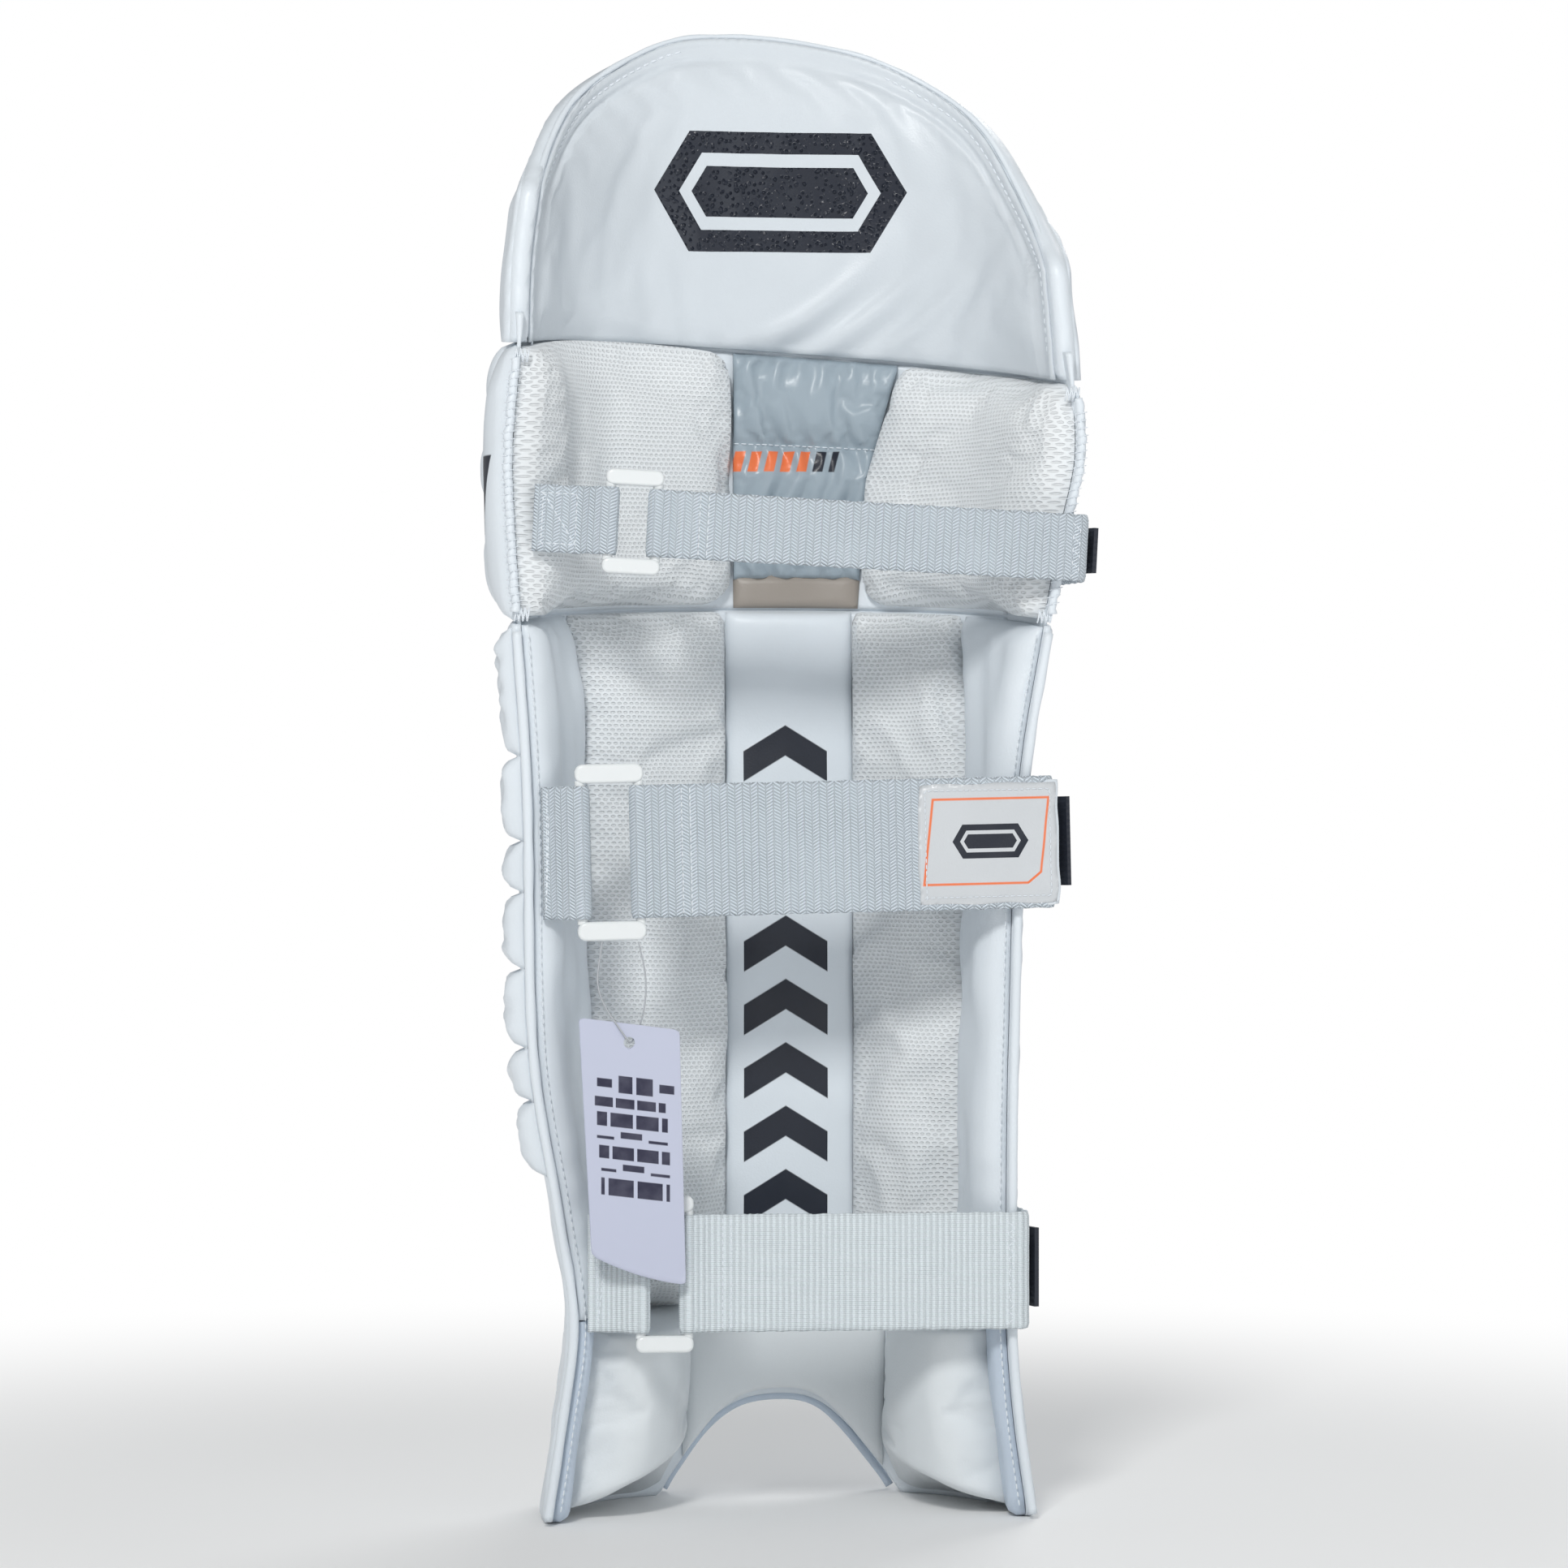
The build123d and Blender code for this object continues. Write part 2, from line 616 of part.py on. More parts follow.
def make_tag():
    corners = [Vector(x, TAG_Y - 0.25, z) for x, z in TAG_CORNERS]
    sag = Vector(-82, TAG_Y - 0.25, 120.5)
    edges = polyline([corners[3], corners[0], corners[1], corners[2]])
    edges.append(Edge.make_three_point_arc(corners[2], sag, corners[3]))
    card = extrude(Face(Wire.combine(edges)[0]), amount=0.5, dir=(0, 1, 0))
    hole = Pos(TAG_HOLE[0], TAG_Y, TAG_HOLE[1]) * Rot(90, 0, 0) * Cylinder(2.6, 10)
    write("tag_card", card - hole)

    points = [Vector(*p) for p in STRING_ROUTE]
    runs = [(b - a).length for a, b in zip(points, points[1:])]
    radii = []
    for i in range(1, len(points) - 1):
        before, after = points[i] - points[i - 1], points[i + 1] - points[i]
        turn = radians(before.get_angle(after))
        radii.append(0.45 * min(runs[i - 1], runs[i]) / (sin(turn / 2) / cos(turn / 2)))
    print("string radii", [round(r, 1) for r in radii], "length", round(sum(runs), 1))
    line = FilletPolyline(*points, radius=radii)
    start = Plane(origin=line @ 0, z_dir=line % 0)
    string = sweep(start * Circle(STRING_RADIUS), path=line)
    write("tag_string", string.solid())


make_shin()
make_knee()
make_top_hat()
make_straps()
make_bar_tacks()
make_tag()
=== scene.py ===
import bpy
import numpy as np
from math import cos, pi, radians, sin, tan
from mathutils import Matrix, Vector


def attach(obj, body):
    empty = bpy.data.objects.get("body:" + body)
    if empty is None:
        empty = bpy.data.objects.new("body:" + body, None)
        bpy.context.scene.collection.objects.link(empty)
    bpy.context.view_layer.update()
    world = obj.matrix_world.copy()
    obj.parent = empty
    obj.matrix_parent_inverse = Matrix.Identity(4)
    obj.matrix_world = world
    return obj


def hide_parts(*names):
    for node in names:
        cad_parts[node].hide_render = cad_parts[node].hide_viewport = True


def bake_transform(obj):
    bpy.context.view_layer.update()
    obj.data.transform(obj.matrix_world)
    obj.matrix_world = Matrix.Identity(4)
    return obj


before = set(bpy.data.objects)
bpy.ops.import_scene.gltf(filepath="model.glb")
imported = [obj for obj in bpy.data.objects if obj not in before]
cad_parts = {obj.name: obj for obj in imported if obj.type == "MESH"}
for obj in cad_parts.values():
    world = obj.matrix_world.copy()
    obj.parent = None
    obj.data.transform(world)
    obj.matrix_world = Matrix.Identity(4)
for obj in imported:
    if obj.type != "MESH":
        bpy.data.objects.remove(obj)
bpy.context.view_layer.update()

# A cricket leg pad.  Lengths are millimetres on the trough's own axes, as in the CAD; metres()
# turns them into the row frame.  A station is a height, the trough's left and right half widths
# there, and the y of its back edges and of its crest.
MM = 0.001
ORIGIN = np.array([-5.24, 3.72, 0.0])
STATIONS = np.array([
    (0, 124, 113, -50, 61), (50, 117, 105, -57, 56), (97, 112, 101, -61, 50),
    (147, 119, 101, -62, 47), (223, 131, 102, -62, 46), (348, 134, 107, -62, 48),
    (424, 139, 119, -62, 52), (470, 142, 127, -62, 55), (505, 143, 134, -62, 56),
    (553, 139, 131, -61, 55), (600, 137, 127, -59, 53), (660, 128, 121, -57, 49),
    (716, 118, 113, -55, 44)], float)
ROUNDNESS = 2.5
KNEE_SEAM_Z = 424.0
HAT_SEAM_Z, HAT_SEAM_SLOPE = 545.2, -0.063
INNER = 8.3                # depth of the core's inner face
BASE = 5.6                 # depth of the cloth that the wings' linings sit on
HAT_OUTLINE = [(-141, 560), (-136, 600), (-126, 640), (-106, 680), (-65, 708), (-29, 714.5),
               (15, 711), (54, 700), (92, 674), (112, 637), (125, 590), (130, 541)]
ARCH_OUTLINE = [(-60, -1), (-53, 12), (-37, 35), (-20, 48), (0, 51.5), (17, 48.5), (31, 37),
                (50, 12), (58, -1)]
FRONT_ARCH = 0.93          # the arch's height at the strike side, as a share
SIDES = (("left", -1), ("right", 1))
CAMERA_AZIMUTH = radians(-6)
CAMERA_DISTANCE = 2.4
AIM = Vector((0.0017, -0.0037, 0.3488))
FRAME_WIDTH = 0.7470       # what the picture spans, 30 mm in front of the aim point
AMBIENT = 0.38


# ---- camera ------------------------------------------------------------------------------
def metres(p):
    return (np.asarray(p, float) - ORIGIN) * MM


def add_object(name, data):
    obj = bpy.data.objects.new(name, data)
    bpy.context.scene.collection.objects.link(obj)
    return obj


camera_data = bpy.data.cameras.new("camera")
camera = add_object("camera", camera_data)
forward = Vector((sin(-CAMERA_AZIMUTH), cos(CAMERA_AZIMUTH), 0))
camera.location = AIM - forward * CAMERA_DISTANCE
camera.rotation_euler = forward.to_track_quat("-Z", "Y").to_euler()
camera_data.sensor_width = 36
camera_data.lens = 36 * (CAMERA_DISTANCE - 0.03) / FRAME_WIDTH
bpy.context.scene.camera = camera


# ---- numbers -----------------------------------------------------------------------------
def unit(v):
    return v / np.linalg.norm(v, axis=-1, keepdims=True)


def walked(line):
    """How far along a line each of its points is."""
    return np.concatenate([[0], np.cumsum(np.linalg.norm(np.diff(line, axis=0), axis=1))])


def resample(points, spacing):
    p = np.asarray(points, float)
    length = walked(p)
    s = np.linspace(0, length[-1], max(2, int(length[-1] / spacing) + 1))
    return np.stack([np.interp(s, length, p[:, i]) for i in range(p.shape[1])], -1)


def stations(z):
    """Left and right half widths, back edge y and crest y of the trough, at heights z."""
    z = np.asarray(z, float)
    last = len(STATIONS) - 1
    i = np.clip(np.searchsorted(STATIONS[:, 0], z) - 1, 0, last - 1)
    z0, z1 = STATIONS[i, 0], STATIONS[i + 1, 0]
    k = ((z - z0) / (z1 - z0))[..., None]
    span = (z1 - z0)[..., None]
    a, b = STATIONS[i, 1:], STATIONS[i + 1, 1:]
    slope = (b - a) / span
    lower, upper = np.maximum(i - 1, 0), np.minimum(i + 2, last)
    before = (b - STATIONS[lower, 1:]) / (z1 - STATIONS[lower, 0])[..., None]
    after = (STATIONS[upper, 1:] - a) / (STATIONS[upper, 0] - z0)[..., None]
    m0 = np.where((i == 0)[..., None], slope, before) * span
    m1 = np.where((i == last - 1)[..., None], slope, after) * span
    value = a * (1 + 2 * k) * (1 - k) ** 2 + b * k * k * (3 - 2 * k)
    value += m0 * k * (1 - k) ** 2 - m1 * k * k * (1 - k)
    return np.moveaxis(value, -1, 0)


def spot(z, angle, depth=0.0):
    """Points of the trough wall, depth in from its outside, and their outward normals."""
    z, angle, depth = np.broadcast_arrays(*(np.asarray(v, float) for v in (z, angle, depth)))
    left, right, back, crest = stations(z)
    half = np.where(angle > 0, right, left)
    span = crest - back
    s, c = np.sin(np.radians(angle)), np.abs(np.cos(np.radians(angle)))
    rho = (np.abs(s) ** ROUNDNESS + c ** ROUNDNESS) ** (1 / ROUNDNESS)
    u, v = s / rho, c / rho
    gx = np.sign(u) * np.abs(u) ** (ROUNDNESS - 1) / half
    gy = v ** (ROUNDNESS - 1) / span
    g = np.hypot(gx, gy)
    normal = np.stack([gx / g, gy / g, np.zeros_like(z)], -1)
    point = np.stack([half * u, back + span * v, z], -1) - normal * depth[..., None]
    return point, normal


def angle_at_x(x, depth=INNER):
    """A function that gives, at any heights, the angle where the trough is at this x."""
    def find(z):
        z = np.asarray(z, float)
        wanted = x(z) if callable(x) else x
        low, high = np.full(z.shape, -89.9), np.full(z.shape, 89.9)
        for _ in range(26):
            middle = (low + high) / 2
            less = spot(z, middle, depth)[0][..., 0] < wanted
            low, high = np.where(less, middle, low), np.where(less, high, middle)
        return low
    return find


def table(*pairs):
    """A function through (height, value) pairs."""
    zs, vs = zip(*pairs)
    return lambda z: np.interp(z, zs, vs)


def smooth_line(points, samples=400):
    """Points along a smooth line through points (Catmull-Rom)."""
    p = np.array(points, float)
    p = np.vstack([2 * p[0] - p[1], p, 2 * p[-1] - p[-2]])
    out = []
    spans = len(p) - 3
    for t in np.linspace(0, spans, samples):
        i = min(int(t), spans - 1)
        k = t - i
        a, b, c, d = p[i:i + 4]
        out.append(0.5 * (2 * b + (c - a) * k + (2 * a - 5 * b + 4 * c - d) * k * k
                          + (3 * b - a - 3 * c + d) * k ** 3))
    return np.array(out)


HAT_LINE = smooth_line(HAT_OUTLINE)
ARCH_LINE = smooth_line(ARCH_OUTLINE)


def arch_height(angle, share=1.0, floor=2.0):
    """Height of the boot arch at each angle, or the floor height beside it."""
    x = spot(30.0, angle, 4.0)[0][..., 0]
    inside = (x > ARCH_OUTLINE[0][0]) & (x < ARCH_OUTLINE[-1][0])
    height = np.interp(x, ARCH_LINE[:, 0], ARCH_LINE[:, 1]) * share
    return np.where(inside, np.maximum(height, floor), floor)


def waves(x, y, size, seed, count=9):
    """A smooth random field, about -1 to 1, whose bumps are about size across."""
    rng = np.random.default_rng(seed)
    total = np.zeros(np.broadcast(x, y).shape)
    for _ in range(count):
        turn, phase = rng.uniform(0, 2 * pi, 2)
        k = 2 * pi / (size * rng.uniform(0.7, 1.5))
        total += np.sin(k * (x * cos(turn) + y * sin(turn)) + phase)
    return total / (count ** 0.5 * 1.2)


def ripple(s, pitch, seed, count=5):
    """Uneven ripples along a seam, about -1 to 1."""
    rng = np.random.default_rng(seed)
    total = np.zeros(np.shape(s))
    for _ in range(count):
        total += np.sin(2 * pi * s / (pitch * rng.uniform(0.7, 1.4)) + rng.uniform(0, 2 * pi))
    return total / (count ** 0.5 * 1.2)


def gathers(s, pitch, seed):
    """Uneven gathers along a seam, 0 to 1."""
    return 0.5 + 0.5 * ripple(s, pitch, seed)


def soften(line, samples):
    """A line with its corners rounded by a running mean, its ends held."""
    weight = np.hanning(2 * samples + 3)[1:-1]
    weight /= weight.sum()
    ahead = 2 * line[0] - line[samples:0:-1]
    behind = 2 * line[-1] - line[-2:-samples - 2:-1]
    long = np.vstack([ahead, line, behind])
    return np.stack([np.convolve(long[:, i], weight, "valid") for i in range(2)], -1)


def eased(angle, reach, ease=14.0):
    """Angles kept within reach, levelling off softly over the last few degrees."""
    size, start = np.abs(angle), reach - ease
    over = np.maximum(size - start, 0)
    return np.sign(angle) * (np.minimum(size, start) + ease * (1 - np.exp(-over / ease)))


def rounded(d, radius):
    """A quarter-circle rise from 0 at an edge to 1 at radius in from it."""
    k = np.clip(d / radius, 0, 1)
    return np.sqrt(1 - (1 - k) ** 2)


def corner(d, radius):
    """How far a rounded corner draws an edge in, at distance d from the side."""
    return radius - np.sqrt(radius ** 2 - np.clip(radius - d, 0, radius) ** 2)


def call(v, x):
    return v(x) if callable(v) else np.full(np.shape(x), float(v))


# ---- materials ---------------------------------------------------------------------------
def add_node(tree, kind, inputs=(), **settings):
    """A shader node with its settings, and its inputs set to numbers or linked to values."""
    node = tree.nodes.new("ShaderNode" + kind)
    for key, value in settings.items():
        setattr(node, key, value)
    for key, value in dict(inputs).items():
        if isinstance(value, Val):
            tree.links.new(value.socket, node.inputs[key])
        else:
            node.inputs[key].default_value = value
    return node


class Val:
    """A number or vector in a node tree, with arithmetic."""

    def __init__(self, tree, socket):
        self.tree, self.socket = tree, socket

    def combine(self, op, *values):
        node = add_node(self.tree, "Math", enumerate(values), operation=op)
        return Val(self.tree, node.outputs[0])

    def __add__(self, o): return self.combine("ADD", self, o)
    def __sub__(self, o): return self.combine("SUBTRACT", self, o)
    def __rsub__(self, o): return self.combine("SUBTRACT", o, self)
    def __mul__(self, o): return self.combine("MULTIPLY", self, o)
    def __truediv__(self, o): return self.combine("DIVIDE", self, o)
    __radd__ = __add__
    __rmul__ = __mul__
    def fract(self): return self.combine("FRACT", self)
    def floor(self): return self.combine("FLOOR", self)
    def abs(self): return self.combine("ABSOLUTE", self)
    def sin(self): return self.combine("SINE", self)
    def sqrt(self): return self.combine("SQRT", self)
    def max(self, o): return self.combine("MAXIMUM", self, o)
    def less(self, o): return self.combine("LESS_THAN", self, o)
    def more(self, o): return self.combine("GREATER_THAN", self, o)

    def step(self, low, high):
        """0 below low, 1 above high, smooth between."""
        node = add_node(self.tree, "MapRange", {"Value": self, "From Min": low,
                        "From Max": high}, interpolation_type="SMOOTHSTEP")
        return Val(self.tree, node.outputs[0])

    def within(self, low, high, soft):
        return self.step(low - soft, low + soft) * (1 - self.step(high - soft, high + soft))


def shade(colour, share):
    return tuple(c * share for c in colour)


class Finish:
    """A material: a Principled shader whose colour, roughness and bump are built in steps."""

    def __init__(self, name, colour, roughness, specular=0.5, sheen=0.0, coat=0.0):
        self.material = bpy.data.materials.new(name)
        self.material.use_nodes = True
        self.tree = self.material.node_tree
        self.shader = self.tree.nodes["Principled BSDF"]
        for key, value in {
                "Base Color": (*colour, 1), "Roughness": roughness, "Sheen Weight": sheen,
                "Specular IOR Level": specular, "Coat Weight": coat,
                "Coat Roughness": 0.12}.items():
            self.shader.inputs[key].default_value = value
        self.paint, self.normal = (*colour, 1), None

    def node(self, kind, inputs=(), out=0, **settings):
        return Val(self.tree, add_node(self.tree, kind, inputs, **settings).outputs[out])

    def feed(self, key, value):
        self.tree.links.new(value.socket, self.shader.inputs[key])

    def split(self, vector, count):
        parts = add_node(self.tree, "SeparateXYZ", {0: vector}).outputs
        return [Val(self.tree, parts[i]) * 1000.0 for i in range(count)]

    def place(self):
        """Object coordinates, which are the row frame in metres, as millimetres."""
        return self.split(self.node("TexCoord", out="Object"), 3)

    def cloth(self):
        """The piece's own cloth coordinates: millimetres across and along it."""
        return self.split(self.node("UVMap", uv_map="cloth"), 2)

    def noise(self, size_mm, detail=3.0):
        return self.node("TexNoise", {"Scale": 1000.0 / size_mm, "Detail": detail,
                                      "Vector": self.node("TexCoord", out="Object")})

    def cells(self, size_mm):
        return self.node("TexVoronoi", {"Scale": 1000.0 / size_mm, "Vector": self.node(
            "TexCoord", out="Object")}, "Distance", feature="SMOOTH_F1")

    def tint(self, share, colour):
        """Mix colour in where share is 1."""
        self.paint = self.node("Mix", {"Factor": share, "A": self.paint, "B": (*colour, 1)},
                               "Result", data_type="RGBA")
        self.feed("Base Color", self.paint)

    def bump(self, height, distance_mm, strength=1.0):
        inputs = {"Strength": strength, "Distance": distance_mm * MM, "Height": height}
        if self.normal is not None:
            inputs["Normal"] = self.normal
        self.normal = self.node("Bump", inputs)
        self.feed("Normal", self.normal)


def polyurethane(name, colour, grain=0.10, roughness=0.42):
    """Smooth coated cloth: a fine grain, faint marks of handling and slow colour changes."""
    f = Finish(name, colour, roughness, specular=0.45)
    f.tint(f.noise(55, 2).step(0.35, 0.75) * 0.35, shade(colour, 0.93))
    f.feed("Roughness", f.noise(18, 4).step(0.2, 0.9) * 0.14 + (roughness - 0.07))
    f.bump(f.cells(0.9), grain, 0.6)
    f.bump(f.noise(4.5, 4), 0.12, 0.5)
    return f


def mesh_knit(name, colour, column=3.1, row=2.1):
    """Air mesh: staggered oval openings in a soft knit."""
    f = Finish(name, colour, 0.82, specular=0.25, sheen=0.25)
    across, along = f.cloth()
    line = along / row
    odd = (line.floor() * 0.5).fract() * 2.0
    u = ((across / column + odd * 0.5).fract() - 0.5) * 2.0
    v = (line.fract() - 0.5) * 2.0
    hole = 1 - (u * u * 1.25 + v * v * 1.6).step(0.18, 0.75)
    f.tint(f.noise(40, 2).step(0.3, 0.8) * 0.4, shade(colour, 0.95))
    # painted shade: the openings are darkened as the shade inside them
    f.tint(hole * 0.30, shade(colour, 0.6))
    f.bump(1 - hole, 0.5, 0.9)
    f.bump(f.noise(0.7, 2), 0.12, 0.4)
    return f


def herringbone(name, colour):
    """Flat polypropylene webbing: upright columns of slanting floats, turned about each time."""
    f = Finish(name, colour, 0.55, specular=0.4, sheen=0.15)
    along, across = f.cloth()
    column = along / 3.6
    flip = (column.floor() * 0.5).fract() * 4.0 - 1.0
    inside = column.fract() - 0.5
    floats = ((across / 1.55 + flip * inside * 1.3) * 2 * pi).sin() * 0.5 + 0.5
    height = floats * (1 - (inside.abs() * 2.0).step(0.72, 1.0))
    # painted shade: the low places between the floats are darkened
    f.tint(1 - height.step(0.05, 0.6), shade(colour, 0.60))
    f.tint(f.noise(22, 2).step(0.35, 0.8) * 0.3, shade(colour, 0.94))
    f.bump(height, 0.7, 1.0)
    f.bump(f.noise(0.5, 2), 0.08, 0.4)
    return f


def elastic_rib(name, colour):
    """Ribbed elastic webbing: upright ribs crossed by fine picks."""
    f = Finish(name, colour, 0.6, specular=0.35, sheen=0.15)
    along, across = f.cloth()
    rib = ((along / 2.9).fract() - 0.5).abs() * 2.0
    picks = (across * (2 * pi / 0.95)).sin() * 0.5 + 0.5
    height = rib.step(0.1, 0.8) * 0.75 + picks * 0.35
    # painted shade: the grooves between the ribs and picks are darkened
    f.tint(1 - height.step(0.1, 0.75), shade(colour, 0.78))
    f.tint(f.noise(14, 2).step(0.4, 0.8) * 0.25, shade(colour, 0.9))
    f.bump(height, 0.6, 1.0)
    return f


def slanted_bars(across, up, bars, low, high, lean, soft=0.5):
    """The share of slanted bars: (from, to) across, between two heights."""
    x = across - (up - (low + high) / 2) * lean
    total = None
    for first, last in bars:
        bar = x.within(first, last, soft)
        total = bar if total is None else total.max(bar)
    return total * up.within(low, high, soft)


def lozenge(across, up, half, tall):
    """A long six-sided mark: a solid middle inside a ring of the same outline."""
    reach, size = across.abs() + up.abs() * 0.6, up.abs()
    whole = reach.less(half) * size.less(tall)
    gap = reach.less(half * 0.80) * size.less(tall * 0.64)
    return whole * (1 - gap) + reach.less(half * 0.70) * size.less(tall * 0.42)


def emblem():
    """White polyurethane, darkened overall with painted shade of the top hat, with a navy lozenge
    inside a navy ring, embossed with fine dots.
    """
    # painted shade: the white is darkened to 0.88 of the other white polyurethane to stand in for
    # the top hat's shading
    f = polyurethane("emblem_polyurethane", shade(WHITE_PU, 0.88))
    x, y, z = f.place()
    mark = lozenge(x - 3.0, z - 638.0, 62.0, 29.0) * y.more(-20)
    f.tint(mark, NAVY)
    f.feed("Roughness", f.noise(30, 3).step(0.2, 0.9) * 0.1 + 0.36 - mark * 0.08)
    f.bump(mark * (1 - f.cells(2.2).step(0.0, 0.45)), 1.0, 1.0)
    f.bump(mark, 0.25, 0.8)
    return f


def strip_print():
    """The centre strip's column of navy chevrons."""
    f = polyurethane("strip_polyurethane", WHITE_PU)
    x, _, z = f.place()
    centre = (x - 6.0).abs()
    vee = z + centre * 0.62
    stripe = ((vee - 142.0) / 31.0).fract().within(0.12, 0.60, 0.014)
    mark = stripe * centre.less(20.5) * vee.within(142, 390, 0.4)
    f.tint(mark, NAVY)
    f.bump(mark, 0.2, 0.7)
    return f


def dashed_satin():
    """Satin for the quilted panel, with a row of small orange and navy dashes; its dark blue-grey
    is partly the satin's own colour and partly painted shade of the recessed panel.
    """
    # the base colour is darkened with painted shade of the recessed panel
    f = polyurethane("quilted_satin", (0.35, 0.42, 0.475), grain=0.05, roughness=0.36)
    x, _, z = f.place()
    orange = [(-19, -14), (-11, -6), (-3, 2), (5, 10), (13, 18)]
    for bars, colour in ((orange, ORANGE), ([(21, 26), (29, 32)], NAVY)):
        f.tint(slanted_bars(x, z, bars, 502, 512, 0.25, 0.3), colour)
    f.bump(f.noise(1.2, 2), 0.05, 0.3)
    return f


def knee_print():
    """Polyurethane for the knee wings: navy slanted bars on the outer left side."""
    f = polyurethane("knee_roll_polyurethane", WHITE_PU)
    x, y, z = f.place()
    mark = slanted_bars(y * -1.0, z, [(2, 14), (20, 34), (40, 54)], 466, 503, 0.3)
    mark = mark * x.less(-118)
    f.tint(mark, NAVY)
    f.bump(mark, 0.2, 0.7)
    return f


def badge_print():
    """White patch leather: an orange outline with one cut corner round a navy lozenge."""
    f = polyurethane("patch_polyurethane", (0.60, 0.625, 0.65), roughness=0.36)
    x, z = f.cloth()
    slant, cut = x - z * 0.12, x * 0.8 - z
    outer = slant.within(-29, 27, 0.35) * z.within(-19.5, 21.5, 0.35)
    inner = slant.within(-27.9, 25.9, 0.35) * z.within(-18.4, 20.4, 0.35)
    f.tint(outer * cut.less(34.5) * (1 - inner * cut.less(33.1)), ORANGE)
    f.tint(lozenge(x - 1.0, z - 1.0, 18.0, 8.0), NAVY)
    return f


def card_print():
    """Coated lavender card: rows of navy bars of different lengths."""
    f = Finish("lavender_card", (0.53, 0.56, 0.69), 0.45, specular=0.4)
    x, z = f.cloth()
    x = x + 85.5
    z = z + x * 0.12
    for low, high, bars in (
            (207, 211, [(-14, -7), (15, 22)]), (205, 213, [(-4, 12)]),
            (198, 202.5, [(-15, 18)]), (189, 195.5, [(-14, 19)]), (184, 187, [(-3, 7)]),
            (183, 184.4, [(-14, -6), (10, 19)]), (174, 180, [(-13, 20)]),
            (169, 172, [(-2, 8)]), (168, 169.4, [(-12, -5), (11, 20)]),
            (157, 165, [(-12, 20)])):
        mark = slanted_bars(x, z, bars, low, high, 0.0, 0.25)
        if high - low > 4:
            mark = mark * ((x + low * 1.7) / (5.5 + high - low)).fract().more(0.13)
        f.tint(mark, (0.02, 0.02, 0.05))
    f.tint(f.noise(8, 3).step(0.3, 0.8) * 0.08, (0.56, 0.57, 0.70))
    f.bump(f.noise(0.8, 3), 0.03, 0.3)
    return f


def moulded(name, colour, roughness, coat=0.0):
    f = Finish(name, colour, roughness, coat=coat)
    f.tint(f.noise(6, 3).step(0.35, 0.8) * 0.12, shade(colour, 0.9))
    f.feed("Roughness", f.noise(5, 4).step(0.2, 0.9) * 0.12 + (roughness - 0.04))
    f.bump(f.noise(1.5, 3), 0.05, 0.4)
    return f


def rubber_tab():
    f = Finish("navy_rubber", (0.014, 0.018, 0.030), 0.5)
    ridges = (f.place()[2] * (2 * pi / 3.0)).sin() * 0.5 + 0.5
    f.bump(ridges * f.noise(30, 1).step(0.0, 0.3), 0.22, 0.7)
    f.bump(f.cells(0.7), 0.12, 0.6)
    f.tint(f.noise(9, 4).step(0.5, 0.8) * 0.25, (0.03, 0.035, 0.05))
    return f


def cane():
    f = Finish("peeled_cane", (0.55, 0.36, 0.17), 0.5)
    ring = ((f.place()[2] / 62).fract() - 0.5).abs().step(0.47, 0.5)
    f.tint(ring * 0.6, (0.3, 0.17, 0.07))
    f.bump(ring, 0.4, 0.6)
    f.bump(f.noise(1.0, 2), 0.1, 0.4)
    return f


def loop_pile():
    f = Finish("loop_pile", (0.72, 0.74, 0.76), 0.9, specular=0.2, sheen=0.5)
    f.bump(f.noise(0.9, 4), 0.5, 1.0)
    f.tint(f.cells(1.1).step(0.2, 0.7) * 0.4, (0.5, 0.52, 0.54))
    return f


def sewing_thread():
    f = Finish("white_thread", (0.78, 0.83, 0.88), 0.6, sheen=0.3)
    f.bump(f.noise(0.35, 1), 0.1, 0.6)
    return f


NAVY = (0.012, 0.016, 0.028)
ORANGE = (0.83, 0.19, 0.065)
WHITE_PU = (0.745, 0.80, 0.85)
white = polyurethane("white_polyurethane", WHITE_PU)
looks = {                  # each look's slot and its material
    "pu": ("pu_white", white),
    "foam": ("foam", white),
    "piping": ("pu_grey", white),
    "patch": ("patch_leather", white),
    "warm": ("pu_white", polyurethane("warm_polyurethane", (0.745, 0.785, 0.81))),
    # painted shade: this grey-blue stands in for the shade on the foot strips, which are the white
    # lining, and on the arch piping
    "grey": ("pu_grey", polyurethane("grey_polyurethane", (0.55, 0.63, 0.73))),
    # the strip end's dark warm brown: a slight warm tint of its own, darkened with painted shade of
    # the knee section and its strap
    "peach_painted_shade": ("pu_white", polyurethane("warm_strip_polyurethane", (0.33, 0.295, 0.262))),
    "strip": ("pu_white", strip_print()),
    "emblem": ("pu_white", emblem()),
    "knee_print": ("pu_white", knee_print()),
    "satin": ("satin_quilt", dashed_satin()),
    "mesh": ("mesh_cream", mesh_knit("pale_air_mesh", (0.82, 0.85, 0.87))),
    "web": ("webbing", herringbone("herringbone_webbing", (0.78, 0.87, 0.95))),
    "elastic": ("webbing", elastic_rib("elastic_webbing", (0.76, 0.83, 0.87))),
    "badge": ("patch_leather", badge_print()),
    "card": ("card", card_print()),
    "thread": ("thread", sewing_thread()),
    "string": ("thread", moulded("grey_string", (0.42, 0.44, 0.47), 0.45)),
}
pile = loop_pile()
cad_looks = {              # materials for the CAD nodes that stay, by a part of their names
    "_ring": moulded("moulded_white_plastic", (0.80, 0.83, 0.84), 0.22, coat=0.25),
    "_pull_tab": rubber_tab(),
    "cane_rods": cane(),
    "hook_patch": pile,
    "loop_patch": pile,
}


